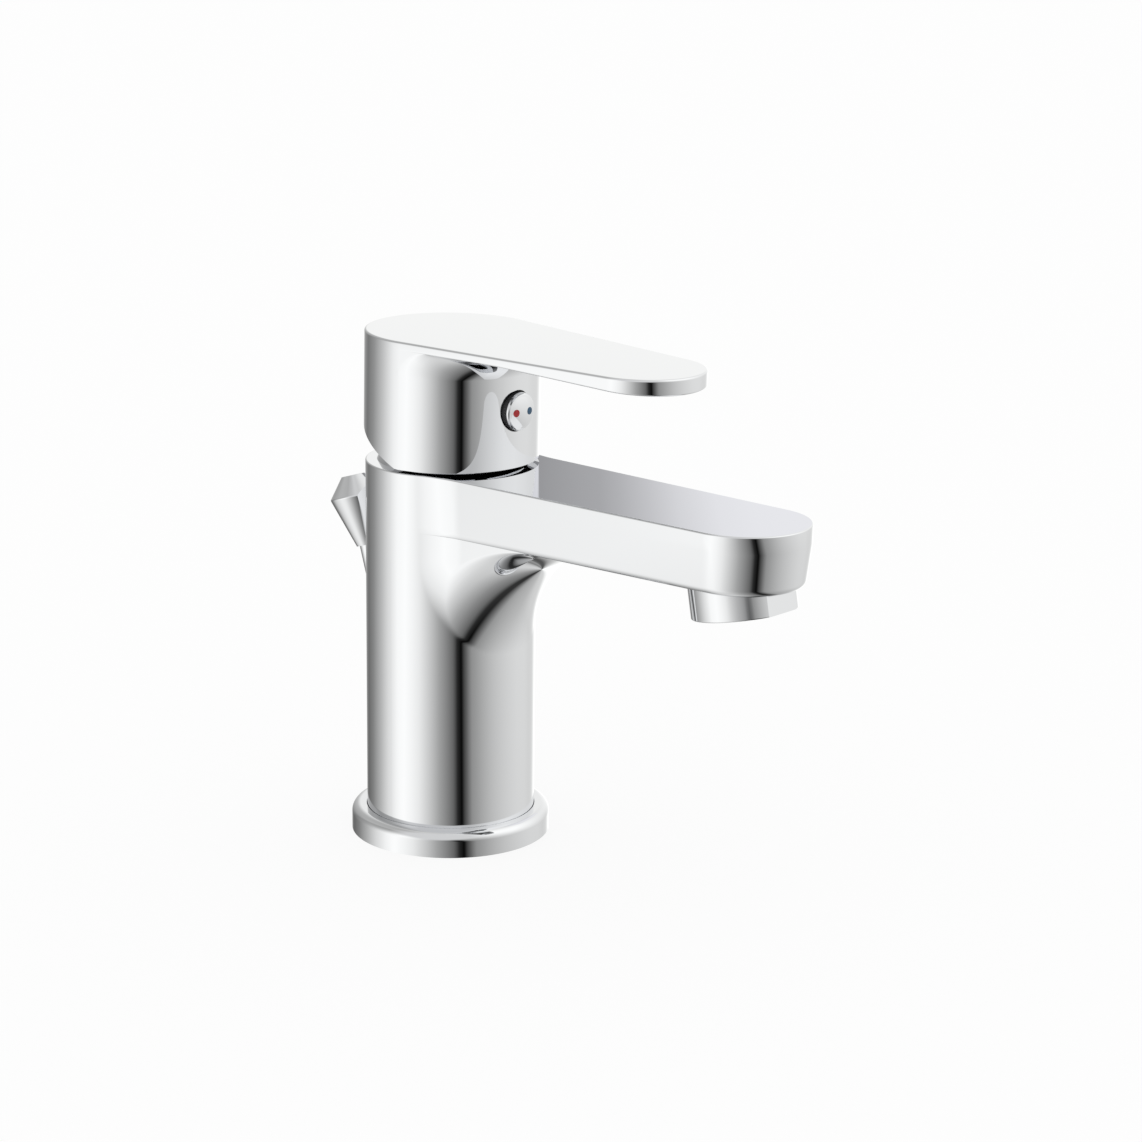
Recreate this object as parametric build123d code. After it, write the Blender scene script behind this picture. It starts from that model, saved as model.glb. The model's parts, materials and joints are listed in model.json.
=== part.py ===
"""Single-lever basin mixer with a straight spout and a pop-up waste lift rod.

Millimetres, +Z up. The origin is on the column's axis at the deck, the underside of the base ring.
The spout points to -Y, its left side as seen from the front is -X, and the lift rod is behind, at +Y.
The mixer is drawn shut, with the lever down over the spout.
"""
import os
from math import acos, asin, cos, pi, radians, sin, sqrt, tan

from build123d import *

# Column and spout
COLUMN_DIA = 46.0
COLUMN_WALL = 4.5
BODY_HEIGHT = 104.2
SPOUT_REACH = 101.0
SPOUT_ROOT_DIA = 39.2
SPOUT_TIP_DIA = 33.7
SPOUT_CORNER_R = 16.0
SPOUT_THICK = 15.8
SPOUT_BAND = 4.6
SPOUT_TAPER = 1.2
SPOUT_ROOT_SHARE = 0.25
SPOUT_EDGE_R = 1.8
SPOUT_EDGE_SECTION_COUNT = 5
BODY_EDGE_R = 0.4
BLEND_DROP = 28.0
BLEND_REACH = 60.0
BLEND_SECTION_COUNT = 7
BLEND_START_ANGLE = 12.0
BLEND_START_TURNS = (30.0, 38.0, 46.0)
BLEND_NECK_SHARE = 0.5
BLEND_LAP = 0.3
BLEND_END_ANGLE = 80.0
CHAMBER_HEIGHT = 40.0
CHANNEL_DIA = 6.6
CHANNEL_ROOF = 2.9

# Base ring and its gasket
BASE_RING_WIDTH = 4.2
BASE_RING_HEIGHT = 7.0
BASE_RING_EDGE_R = 2.4
GASKET_WIDTH = 2.4
GASKET_HEIGHT = 1.5

# Supply and fixing threads in the hollow underside, drawn at their minor diameters
INLET_THREAD_DIA = 9.0
INLET_THREAD_LENGTH = 12.0
INLET_FORWARD = 1.0
INLET_PASSAGE_DIA = 7.0
STUD_THREAD_DIA = 6.8
STUD_THREAD_LENGTH = 16.0
STUD_BOSS_DIA = 12.5
STUD_BOSS_DROP = 32.0
STUD_FORWARD = 11.0

# Ceramic-disc cartridge
CARTRIDGE_DIA = 35.0
CARTRIDGE_HEIGHT = 31.0
WATER_GAP = 1.0
CAGE_WALL = 2.3
CAGE_ROOF = 5.1
CAGE_COLLAR = 4.0
CAGE_WINDOW_WIDTH = 9.0
PORT_BASE_HEIGHT = 7.0
PORT_SEAL_HEIGHT = 2.0
PORT_SEAL_WALL = 1.6
PORT_FLOW_DIA = 6.4
DISC_HEIGHT = 4.0
FIXED_DISC_GAP = 0.8
MOVING_DISC_GAP = 1.0
PORT_LAND = 1.3
CARRIER_HEIGHT = 5.5
CARRIER_WIDTH = 16.4
SPINDLE_FLANGE = 4.4
SPINDLE_NECK_DIA = 20.0
SPINDLE_NECK_ABOVE = 4.0
SPINDLE_RAIL_WIDTH = 2.4
O_RING_SECTION = 1.6
SPINDLE_RING_SECTION = 1.2
LIMIT_RING_HEIGHT = 2.0
LIMIT_RING_WIDTH = 2.0
LIMIT_LUG_ANGLE = 20.0
LIMIT_SPARE_ANGLE = 1.0
NUT_THREAD_DIA = 38.0
NUT_THREAD_LENGTH = 7.2
NUT_HEX_HEIGHT = 3.0
NUT_WALL = 1.3
NUT_RING_GAP = 0.6
NUT_CAP_GAP = 0.3

# Lever mechanism
PIVOT_DEPTH = 1.0
LIFT_ANGLE = 25.0
SWIVEL_ANGLE = 50.0
HANDLE_LEAN = 1.0
STEM_ARM = 11.0
STEM_HEIGHT = 31.0
STEM_SQUARE = 8.0
STEM_NECK_DIA = 4.4
STEM_BALL_DIA = 6.0
PIN_DIA = 3.0

# Handle
HANDLE_DIA = 47.1
HANDLE_HEIGHT = 34.2
HANDLE_GAP = 1.0
HANDLE_WALL = 2.8
HANDLE_CEILING = 4.6
HANDLE_EDGE_R = 0.6
LEVER_REACH = 66.3
LEVER_TIP_DIA = 32.7
LEVER_ROOT_THICK = 2.2
LEVER_TIP_THICK = 4.4
LEVER_BLEND_DROP = 7.0
LEVER_BLEND_REACH = 9.0
LEVER_BLEND_SECTION_COUNT = 5
BOSS_DIA = 16.0
RIB_WIDTH = 13.0
TRIM_CAP_WALL = 1.0
TRIM_CAP_GAP = 1.2
TRIM_CAP_MOUTH_DIA = 28.0

# Indicator plug in the handle's front, and the grub screw behind it
PLUG_DIA = 10.2
PLUG_DEPTH = 3.6
PLUG_STAND = 2.4
PLUG_EDGE_R = 0.8
PLUG_DOME = 0.6
PLUG_SEAT = 1.5
PLUG_GAP = 0.45
PLUG_RISE = 15.8
DOT_DIA = 2.0
DOT_DEPTH = 0.6
DOT_SPACING = 5.0
GRUB_DIA = 5.0
GRUB_LENGTH = 6.0
GRUB_SOCKET_FLATS = 2.5
GRUB_SOCKET_DEPTH = 2.5

# Aerator at the spout's end
AERATOR_DIA = 27.0
AERATOR_STAND = 7.7
AERATOR_FORWARD = 0.6
AERATOR_TILT = 10.4
AERATOR_COLLAR = 11.0
AERATOR_THREAD_DIA = 24.0
AERATOR_THREAD_LENGTH = 6.0
AERATOR_BORE_DIA = 21.0
AERATOR_LIP = 1.0
AERATOR_FLATS = 24.6
AERATOR_FLAT_HEIGHT = 5.0
INSERT_HEIGHT = 9.0
INSERT_CELL = 3.4
INSERT_WEB = 0.9
INSERT_RING_COUNT = 2
AERATOR_SEAL_HEIGHT = 1.5
AERATOR_SEAL_WIDTH = 2.2

# Pop-up waste lift rod and knob
ROD_DIA = 5.0
ROD_LEAN = 17.4
ROD_EXIT_HEIGHT = 46.6
ROD_ABOVE = 29.3
ROD_FOOT_CLEAR = 2.0
KNOB_FOOT_DIA = 6.6
KNOB_RIM_DIA = 15.4
KNOB_TOP_DIA = 6.6
KNOB_FLARE = 14.0
KNOB_CROWN = 5.7
KNOB_EDGE_R = 0.6
KNOB_SOCKET = 8.0
KNOB_FLAT_FOOT = 3.0
KNOB_FLAT_LEAN = 10.3

# Clearances between pieces, per side
RUN_CLEAR = 0.05
SEAT_CLEAR = 0.1
MOVE_CLEAR = 0.4

# Levels and radii that follow from the sizes above
COLUMN_R = COLUMN_DIA / 2
SPOUT_ROOT_R = SPOUT_ROOT_DIA / 2
SPOUT_TIP_R = SPOUT_TIP_DIA / 2
SPOUT_UNDER_R = SPOUT_TIP_R - SPOUT_TAPER
SPOUT_UNDER_Z = BODY_HEIGHT - SPOUT_THICK
COLLAR_TOP = BODY_HEIGHT - NUT_THREAD_LENGTH
SEAT_Z = COLLAR_TOP - CARTRIDGE_HEIGHT
CARTRIDGE_R = CARTRIDGE_DIA / 2
BORE_R = CARTRIDGE_R + SEAT_CLEAR
CAGE_R = BORE_R - WATER_GAP
CAVITY_R = CAGE_R - CAGE_WALL
CAGE_ROOF_Z = COLLAR_TOP - CAGE_ROOF
PIVOT_Z = COLLAR_TOP - PIVOT_DEPTH
BALL_Z = PIVOT_Z - STEM_ARM
FIXED_DISC_Z = SEAT_Z + PORT_BASE_HEIGHT
MOVING_DISC_Z = FIXED_DISC_Z + DISC_HEIGHT + RUN_CLEAR
CARRIER_Z = MOVING_DISC_Z + DISC_HEIGHT
SPINDLE_Z = CAGE_ROOF_Z - SPINDLE_FLANGE - MOVE_CLEAR
NECK_R = SPINDLE_NECK_DIA / 2
NECK_TOP = COLLAR_TOP + SPINDLE_NECK_ABOVE
DISC_TRAVEL = STEM_ARM * (sin(radians(LIFT_ANGLE - HANDLE_LEAN)) + sin(radians(HANDLE_LEAN)))
HANDLE_R = HANDLE_DIA / 2
HANDLE_FOOT = BODY_HEIGHT + HANDLE_GAP
HANDLE_TOP = HANDLE_FOOT + HANDLE_HEIGHT
CUP_R = HANDLE_R - HANDLE_WALL
LEVER_TIP_R = LEVER_TIP_DIA / 2
PLUG_Z = HANDLE_FOOT + PLUG_RISE
CAP_R = sqrt(CUP_R**2 + (HANDLE_FOOT - PIVOT_Z) ** 2) - TRIM_CAP_GAP
FIXED_DISC_R = CAVITY_R - FIXED_DISC_GAP
MOVING_DISC_R = CAVITY_R - DISC_TRAVEL / 2 - MOVING_DISC_GAP
INLET_X = FIXED_DISC_R - PORT_LAND - PORT_FLOW_DIA / 2
NUT_BORE_R = NECK_R + SEAT_CLEAR + LIMIT_RING_WIDTH + NUT_RING_GAP
NUT_HEX_R = NUT_BORE_R + NUT_WALL
ROD_R = ROD_DIA / 2


def drum(radius, low, high, x=0.0, y=0.0):
    """Upright cylinder between two levels."""
    return Pos(x, y, low) * Cylinder(radius, high - low, align=(Align.CENTER, Align.CENTER, Align.MIN))


def block(x_size, y_low, y_high, low, high, x=0.0):
    """Box centred on x, between two depths and two levels."""
    size = Box(x_size, y_high - y_low, high - low)
    return Pos(x, (y_low + y_high) / 2, (low + high) / 2) * size


def bolt_hole(radius, y_low, y_high, z):
    """Cylinder along Y, on the plane X = 0."""
    axis = Plane(origin=(0, y_low, z), x_dir=(1, 0, 0), z_dir=(0, 1, 0))
    return axis * Cylinder(radius, y_high - y_low, align=(Align.CENTER, Align.CENTER, Align.MIN))


def o_ring(middle_r, section, z):
    """Ring of round section about the column's axis."""
    return Pos(0, 0, z) * Torus(middle_r, section / 2)


def turned(points):
    """Solid of revolution about the column's axis from (radius, level) corners."""
    outline = make_face(Polyline([(r, 0, z) for r, z in points], close=True))
    return revolve(outline, Axis.Z)


def pear(root_r, tip_r, reach, z):
    """Plan outline of a root circle and a tip circle joined by their common tangents."""
    side = asin((root_r - tip_r) / reach)
    root = (root_r * cos(side), -root_r * sin(side))
    tip = (tip_r * cos(side), -reach - tip_r * sin(side))
    outline = [
        ThreePointArc(root, (0, root_r), (-root[0], root[1])),
        Line((-root[0], root[1]), (-tip[0], tip[1])),
        ThreePointArc((-tip[0], tip[1]), (0, -reach - tip_r), tip),
        Line(tip, root),
    ]
    return Pos(0, 0, z) * make_face(outline)


def split_circle(radius, turns, z):
    """Circle cut into the runs between the given turns, as the first section of a loft."""
    outline = []
    for start, end in zip(turns, turns[1:] + [turns[0] + 2 * pi]):
        run = (start, (start + end) / 2, end)
        outline.append(ThreePointArc(*[(radius * cos(turn), radius * sin(turn)) for turn in run]))
    return Pos(0, 0, z) * make_face(outline)


def flare(root_r, tip_r, reach, top, drop, run, count):
    """Blend that grows out of a round barrel into an overhang, on most of a quarter ellipse in side view."""
    last = radians(BLEND_END_ANGLE)
    side = asin((root_r - tip_r) / reach)
    swing = radians(BLEND_START_ANGLE)
    turns = [-side, pi + side, pi + side + swing, 2 * pi - side - swing]
    sections = [split_circle(root_r, turns, top - drop)]
    for step in range(1, count):
        turn = last * step / (count - 1)
        forward = run * (1 - cos(turn)) / (1 - cos(last))
        end_r = root_r - (root_r - tip_r) * forward / reach
        sections.append(pear(root_r, end_r, forward, top - drop * (1 - sin(turn) / sin(last))))
    return loft(sections)


def necked(root_r, tip_r, reach, z, column_r=COLUMN_R):
    """Plan outline of the column with a narrower spout, the two inner corners rounded."""
    side = asin((root_r - tip_r) / reach)
    across = Vector(cos(side), -sin(side))
    along = Vector(-sin(side), -cos(side))
    out = root_r + SPOUT_CORNER_R
    middle = across * out + along * sqrt((column_r + SPOUT_CORNER_R) ** 2 - out**2)
    ends = [middle.normalized() * column_r]
    ends.append(middle - (middle.normalized() + across).normalized() * SPOUT_CORNER_R)
    ends.append(middle - across * SPOUT_CORNER_R)
    ends.append(across * tip_r + Vector(0, -reach))
    right = [(end.X, end.Y) for end in ends]
    left = [(-x, y) for x, y in right]
    outline = [
        ThreePointArc(right[0], (0, column_r), left[0]),
        ThreePointArc(left[0], left[1], left[2]),
        Line(left[2], left[3]),
        ThreePointArc(left[3], (0, -reach - tip_r), right[3]),
        Line(right[3], right[2]),
        ThreePointArc(right[2], right[1], right[0]),
    ]
    return Pos(0, 0, z) * make_face(outline)


def spout_plan(tip_r, z):
    """Plan of column and spout at a level, given the tip's radius there."""
    root_r = SPOUT_ROOT_R - SPOUT_ROOT_SHARE * (SPOUT_TIP_R - tip_r)
    return necked(root_r, tip_r, SPOUT_REACH, z)


def spout_blend(tip_r):
    """Blend under the spout, whose necked sections narrow as they reach forward."""
    top = SPOUT_UNDER_Z
    last = radians(BLEND_END_ANGLE)
    narrow = SPOUT_ROOT_R - SPOUT_ROOT_SHARE * (SPOUT_TIP_R - tip_r)
    column_r = COLUMN_R - BLEND_LAP
    wide = column_r + SPOUT_CORNER_R
    first, second, third = BLEND_START_TURNS
    turns = [-first, 180 + first, 180 + second, 180 + third, 360 - third, 360 - second]
    sections = [split_circle(column_r, [radians(turn) for turn in turns], top - BLEND_DROP)]
    for step in range(1, BLEND_SECTION_COUNT):
        turn = last * step / (BLEND_SECTION_COUNT - 1)
        forward = BLEND_REACH * (1 - cos(turn)) / (1 - cos(last))
        neck = sqrt(wide**2 - (BLEND_NECK_SHARE * forward) ** 2) - SPOUT_CORNER_R
        root_r = max(narrow, neck)
        end_r = root_r - (narrow - tip_r) * forward / SPOUT_REACH
        level = top - BLEND_DROP * (1 - sin(turn) / sin(last))
        sections.append(necked(root_r, end_r, forward, level, column_r))
    return loft(sections)


def tilted(part, angle):
    """Turn a piece of the lever about the pivot, top forwards."""
    return Pos(0, 0, PIVOT_Z) * Rot(angle, 0, 0) * Pos(0, 0, -PIVOT_Z) * part


def rod_frame(along):
    """Frame on the lift rod's axis, a distance up from where it leaves the column."""
    lean = radians(ROD_LEAN)
    axis = (0, sin(lean), cos(lean))
    origin = (0, COLUMN_R + along * axis[1], ROD_EXIT_HEIGHT + along * axis[2])
    return Plane(origin=origin, x_dir=(1, 0, 0), z_dir=axis)


def aerator_frame():
    """Frame at the centre of the aerator's mouth, its Z going up into the spout."""
    lean = radians(AERATOR_TILT)
    origin = (0, -SPOUT_REACH - AERATOR_FORWARD, SPOUT_UNDER_Z - AERATOR_STAND)
    return Plane(origin=origin, x_dir=(1, 0, 0), z_dir=(0, sin(lean), cos(lean)))


def body_outside():
    low = SPOUT_UNDER_Z
    under_r = SPOUT_UNDER_R - SPOUT_EDGE_R
    band_low = BODY_HEIGHT - SPOUT_BAND
    edge = []
    for step in range(SPOUT_EDGE_SECTION_COUNT):
        turn = pi / 2 * step / (SPOUT_EDGE_SECTION_COUNT - 1)
        edge.append(spout_plan(under_r + SPOUT_EDGE_R * sin(turn), low + SPOUT_EDGE_R * (1 - cos(turn))))
    side = spout_plan(SPOUT_TIP_R, band_low)
    band = extrude(side, SPOUT_BAND, dir=(0, 0, 1))
    band = fillet(band.faces().sort_by(Axis.Z)[-1].edges(), BODY_EDGE_R)
    column = drum(COLUMN_R, 0, low)
    return column + spout_blend(under_r) + loft(edge + [side], ruled=True) + band


def underside_hollow():
    hollow = drum(COLUMN_R - COLUMN_WALL, 0, CHAMBER_HEIGHT)
    boss_low = CHAMBER_HEIGHT - STUD_BOSS_DROP
    boss = drum(STUD_BOSS_DIA / 2, boss_low, CHAMBER_HEIGHT, y=-STUD_FORWARD)
    hollow -= boss
    return hollow + drum(STUD_THREAD_DIA / 2, boss_low, boss_low + STUD_THREAD_LENGTH, y=-STUD_FORWARD)


def waterways():
    ways = drum(BORE_R, SEAT_Z, COLLAR_TOP) + drum(NUT_THREAD_DIA / 2, COLLAR_TOP, BODY_HEIGHT)
    for x in (-INLET_X, INLET_X):
        ways += drum(INLET_PASSAGE_DIA / 2, CHAMBER_HEIGHT, SEAT_Z, x, -INLET_FORWARD)
        top = CHAMBER_HEIGHT + INLET_THREAD_LENGTH
        ways += drum(INLET_THREAD_DIA / 2, CHAMBER_HEIGHT, top, x, -INLET_FORWARD)
    channel_r = CHANNEL_DIA / 2
    level = BODY_HEIGHT - CHANNEL_ROOF - channel_r
    bend = -2 * COLUMN_R
    rise = (0, bend, level)
    fall = Vector(0, -BORE_R + WATER_GAP, SPOUT_UNDER_Z - WATER_GAP) - Vector(*rise)
    slope = Plane(origin=rise, x_dir=(1, 0, 0), z_dir=fall)
    ways += slope * Cylinder(channel_r, fall.length, align=(Align.CENTER, Align.CENTER, Align.MIN))
    ways += Pos(*rise) * Sphere(channel_r)
    return ways + bolt_hole(channel_r, -SPOUT_REACH, bend, level)


def aerator_bore():
    collar = drum(AERATOR_DIA / 2 + SEAT_CLEAR, 0, AERATOR_COLLAR)
    thread_top = AERATOR_COLLAR + AERATOR_THREAD_LENGTH
    thread = drum(AERATOR_THREAD_DIA / 2 + SEAT_CLEAR, AERATOR_COLLAR, thread_top + AERATOR_SEAL_HEIGHT)
    return aerator_frame() * (collar + thread)


def body_casting():
    rod_way = rod_frame(0) * Cylinder(ROD_R + RUN_CLEAR, 2 * COLUMN_DIA)
    casting = body_outside() - underside_hollow()
    return casting - waterways() - aerator_bore() - rod_way


def base_ring():
    inner = COLUMN_R + SEAT_CLEAR
    ring = drum(COLUMN_R + BASE_RING_WIDTH, 0, BASE_RING_HEIGHT)
    ring = fillet(ring.edges().sort_by(Axis.Z)[-1], BASE_RING_EDGE_R)
    groove = drum(inner + GASKET_WIDTH, 0, GASKET_HEIGHT)
    return ring - groove - drum(inner, 0, BASE_RING_HEIGHT)


def base_gasket():
    inner = COLUMN_R + SEAT_CLEAR
    return drum(inner + GASKET_WIDTH, 0, GASKET_HEIGHT) - drum(inner, 0, GASKET_HEIGHT)


def port_base():
    """Foot of the cartridge: two inlet ports with seals under them and the outlet at the sides."""
    base = drum(CAGE_R, SEAT_Z, FIXED_DISC_Z)
    for x in (-INLET_X, INLET_X):
        base -= drum(PORT_FLOW_DIA / 2, SEAT_Z, FIXED_DISC_Z, x, -INLET_FORWARD)
        seal_r = PORT_FLOW_DIA / 2 + PORT_SEAL_WALL + RUN_CLEAR
        base -= drum(seal_r, SEAT_Z, SEAT_Z + PORT_SEAL_HEIGHT, x, -INLET_FORWARD)
    outlet_low = SEAT_Z + PORT_BASE_HEIGHT / 2
    back = CAVITY_R - PORT_FLOW_DIA
    base -= drum(PORT_FLOW_DIA / 2, outlet_low, FIXED_DISC_Z, 0, back)
    return base - block(PORT_FLOW_DIA, back, CAGE_R, outlet_low, FIXED_DISC_Z)


def port_seals():
    seals = []
    for x in (-INLET_X, INLET_X):
        seal = drum(PORT_FLOW_DIA / 2 + PORT_SEAL_WALL, SEAT_Z, SEAT_Z + PORT_SEAL_HEIGHT, x, -INLET_FORWARD)
        seals.append(seal - drum(PORT_FLOW_DIA / 2, SEAT_Z, SEAT_Z + PORT_SEAL_HEIGHT, x, -INLET_FORWARD))
    return Compound(children=seals)


def fixed_disc():
    disc = drum(FIXED_DISC_R, FIXED_DISC_Z, FIXED_DISC_Z + DISC_HEIGHT)
    for x in (-INLET_X, INLET_X):
        disc -= drum(PORT_FLOW_DIA / 2, FIXED_DISC_Z, FIXED_DISC_Z + DISC_HEIGHT, x, -INLET_FORWARD)
    back = CAVITY_R - PORT_FLOW_DIA
    return disc - drum(PORT_FLOW_DIA / 2, FIXED_DISC_Z, FIXED_DISC_Z + DISC_HEIGHT, 0, back)


def moving_disc():
    """Upper disc, pushed back when shut, with the mixing hollow in its underside."""
    shift = DISC_TRAVEL / 2
    disc = drum(MOVING_DISC_R, MOVING_DISC_Z, CARRIER_Z, 0, shift)
    mixing = drum(MOVING_DISC_R / 2, MOVING_DISC_Z, MOVING_DISC_Z + DISC_HEIGHT / 2, 0, shift)
    return disc - mixing


def ball_back():
    """How far the stem's ball stands behind the axis while the lever is down."""
    return STEM_ARM * sin(radians(HANDLE_LEAN))


def disc_carrier():
    shift = DISC_TRAVEL / 2
    top = CARRIER_Z + CARRIER_HEIGHT
    round_part = drum(MOVING_DISC_R, CARRIER_Z, top, 0, shift)
    half = MOVING_DISC_R
    carrier = round_part & block(CARRIER_WIDTH, shift - half, shift + half, CARRIER_Z, top)
    socket_r = STEM_BALL_DIA / 2 + MOVE_CLEAR
    return carrier - drum(socket_r, BALL_Z - socket_r, top, 0, ball_back())


def cartridge_cage():
    """Housing that holds the discs, with a sealing collar at its top and two outlet windows."""
    cage = drum(CAGE_R, FIXED_DISC_Z, COLLAR_TOP)
    cage += drum(CARTRIDGE_R, COLLAR_TOP - CAGE_COLLAR, COLLAR_TOP)
    cage -= drum(CAVITY_R, FIXED_DISC_Z, CAGE_ROOF_Z)
    cage -= drum(NECK_R + RUN_CLEAR, CAGE_ROOF_Z, COLLAR_TOP)
    window_top = FIXED_DISC_Z + DISC_HEIGHT
    cage -= block(CAGE_WINDOW_WIDTH, 0, CARTRIDGE_R, FIXED_DISC_Z, window_top)
    middle = COLLAR_TOP - CAGE_COLLAR / 2
    groove_half = O_RING_SECTION / 2 + SEAT_CLEAR
    groove = drum(CARTRIDGE_R + SEAT_CLEAR, middle - groove_half, middle + groove_half)
    groove -= drum(BORE_R - O_RING_SECTION - SEAT_CLEAR, middle - groove_half, middle + groove_half)
    return cage - groove


def cage_o_ring():
    middle_r = BORE_R - RUN_CLEAR - O_RING_SECTION / 2
    return o_ring(middle_r, O_RING_SECTION, COLLAR_TOP - CAGE_COLLAR / 2)


def spindle_ring_level():
    return (CAGE_ROOF_Z + COLLAR_TOP) / 2 - PIN_DIA / 2


def spindle():
    """Turning part of the cartridge: carries the lever's pin and drives the disc carrier."""
    turn = drum(CAVITY_R - MOVE_CLEAR, SPINDLE_Z, SPINDLE_Z + SPINDLE_FLANGE)
    turn += drum(NECK_R, SPINDLE_Z, NECK_TOP)
    rail_low = CARRIER_Z + MOVE_CLEAR
    rail_x = CARRIER_WIDTH / 2 + SEAT_CLEAR + SPINDLE_RAIL_WIDTH / 2
    reach = sqrt((CAVITY_R - MOVE_CLEAR) ** 2 - (rail_x + SPINDLE_RAIL_WIDTH / 2) ** 2)
    for x in (-rail_x, rail_x):
        turn += block(SPINDLE_RAIL_WIDTH, -reach, reach, rail_low, SPINDLE_Z, x)
    lug = drum(NECK_R + LIMIT_RING_WIDTH, COLLAR_TOP + SEAT_CLEAR, COLLAR_TOP + LIMIT_RING_HEIGHT)
    turn += lug & wedge(LIMIT_LUG_ANGLE / 2, COLLAR_TOP, NECK_TOP)
    slot = STEM_SQUARE + 2 * SEAT_CLEAR
    swing = STEM_ARM * sin(radians(LIFT_ANGLE)) + STEM_SQUARE / 2
    turn -= block(slot, -swing, swing, CARRIER_Z, NECK_TOP)
    turn -= block(slot, -NECK_R, NECK_R, SPINDLE_Z + SPINDLE_FLANGE, NECK_TOP)
    level = spindle_ring_level()
    groove_half = SPINDLE_RING_SECTION / 2 + SEAT_CLEAR
    groove = drum(NECK_R + SEAT_CLEAR, level - groove_half, level + groove_half)
    groove -= drum(NECK_R - SPINDLE_RING_SECTION, level - groove_half, level + groove_half)
    return turn - groove - pin_way(RUN_CLEAR)


def wedge(half_angle, low, high):
    """Sector facing +X, used for the swivel stop."""
    far = CARTRIDGE_DIA
    left = (far * cos(radians(half_angle)), far * sin(radians(half_angle)))
    right = (left[0], -left[1])
    sector = make_face(Polyline([(0, 0), right, left], close=True))
    return extrude(Pos(0, 0, low) * sector, high - low, dir=(0, 0, 1))


def pin_way(clearance):
    """Cross pin's space, along X at the pivot."""
    half = NECK_R - MOVE_CLEAR
    axis = Plane(origin=(-half, 0, PIVOT_Z), x_dir=(0, 1, 0), z_dir=(1, 0, 0))
    return axis * Cylinder(PIN_DIA / 2 + clearance, 2 * half, align=(Align.CENTER, Align.CENTER, Align.MIN))


def spindle_o_ring():
    middle_r = NECK_R - SPINDLE_RING_SECTION / 2
    return o_ring(middle_r, SPINDLE_RING_SECTION, spindle_ring_level())


def limit_ring():
    """Stop ring on the cartridge that limits the lever's swing to each side."""
    inner = NECK_R + SEAT_CLEAR
    outer = NECK_R + LIMIT_RING_WIDTH + SEAT_CLEAR
    top = COLLAR_TOP + LIMIT_RING_HEIGHT
    ring = drum(outer, COLLAR_TOP, top) - drum(inner, COLLAR_TOP, top)
    return ring - wedge(SWIVEL_ANGLE + LIMIT_LUG_ANGLE / 2 + LIMIT_SPARE_ANGLE, COLLAR_TOP, top)


def cartridge_nut():
    """Ring nut with a hexagon, whose corners are turned where the trim cap's dome comes close."""
    hexagon = extrude(
        Pos(0, 0, BODY_HEIGHT) * RegularPolygon(NUT_HEX_R, 6, major_radius=False),
        NUT_HEX_HEIGHT,
        dir=(0, 0, 1),
    )
    hexagon &= Pos(0, 0, PIVOT_Z) * Sphere(CAP_R - TRIM_CAP_WALL - NUT_CAP_GAP)
    nut = drum(NUT_THREAD_DIA / 2 - RUN_CLEAR, COLLAR_TOP, BODY_HEIGHT) + hexagon
    return nut - drum(NUT_BORE_R, COLLAR_TOP, BODY_HEIGHT + NUT_HEX_HEIGHT)


def trim_cap():
    """Dome under the handle, centred on the lever's pivot so that the cup swings clear of it."""
    mouth_z = PIVOT_Z + sqrt(CAP_R**2 - (TRIM_CAP_MOUTH_DIA / 2) ** 2)
    shell = Pos(0, 0, PIVOT_Z) * (Sphere(CAP_R) - Sphere(CAP_R - TRIM_CAP_WALL))
    dome = shell & drum(CAP_R, BODY_HEIGHT, mouth_z)
    foot_in = NUT_HEX_R / cos(pi / 6) + SEAT_CLEAR
    foot_out = sqrt(CAP_R**2 - (BODY_HEIGHT + TRIM_CAP_WALL - PIVOT_Z) ** 2) - TRIM_CAP_WALL / 2
    foot = drum(foot_out, BODY_HEIGHT, BODY_HEIGHT + TRIM_CAP_WALL)
    return dome + foot - drum(foot_in, BODY_HEIGHT, BODY_HEIGHT + TRIM_CAP_WALL)


def stem():
    top = PIVOT_Z + STEM_HEIGHT
    low = BALL_Z + STEM_ARM / 2
    shaft = block(STEM_SQUARE, -STEM_SQUARE / 2, STEM_SQUARE / 2, low, top)
    shaft += drum(STEM_NECK_DIA / 2, BALL_Z, low) + Pos(0, 0, BALL_Z) * Sphere(STEM_BALL_DIA / 2)
    return tilted(shaft - pin_way(RUN_CLEAR), HANDLE_LEAN)


def pivot_pin():
    return pin_way(0)


def lever_plate(plate_z):
    """Flat lever in plan, even over the barrel and thicker towards its tip."""
    tip = LEVER_REACH + LEVER_TIP_R
    low = HANDLE_TOP - LEVER_TIP_THICK
    plan = pear(HANDLE_R, LEVER_TIP_R, LEVER_REACH, low)
    plate = extrude(plan, LEVER_TIP_THICK, dir=(0, 0, 1))
    plate = fillet(plate.faces().sort_by(Axis.Z)[-1].edges(), HANDLE_EDGE_R)
    start = HANDLE_R + LEVER_BLEND_REACH
    corners = [(HANDLE_DIA, plate_z), (-start, plate_z), (-tip, low), (-tip, SEAT_Z), (HANDLE_DIA, SEAT_Z)]
    under = make_face(Polyline([(0, y, z) for y, z in corners], close=True))
    return plate - extrude(under, HANDLE_DIA, both=True)


def handle_outside():
    plate_z = HANDLE_TOP - LEVER_ROOT_THICK
    drop = LEVER_BLEND_DROP
    run = LEVER_BLEND_REACH
    blend = flare(HANDLE_R, LEVER_TIP_R, LEVER_REACH, plate_z, drop, run, LEVER_BLEND_SECTION_COUNT)
    return drum(HANDLE_R, BODY_HEIGHT, plate_z - LEVER_BLEND_DROP) + blend + lever_plate(plate_z)


def below_gap(angle):
    """Everything lower than the handle's gap over the body, with the lever at an angle from upright."""
    size = 4 * HANDLE_DIA
    floor = Pos(0, 0, HANDLE_FOOT) * Box(size, size, size, align=(Align.CENTER, Align.CENTER, Align.MAX))
    return tilted(floor, -angle)


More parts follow.
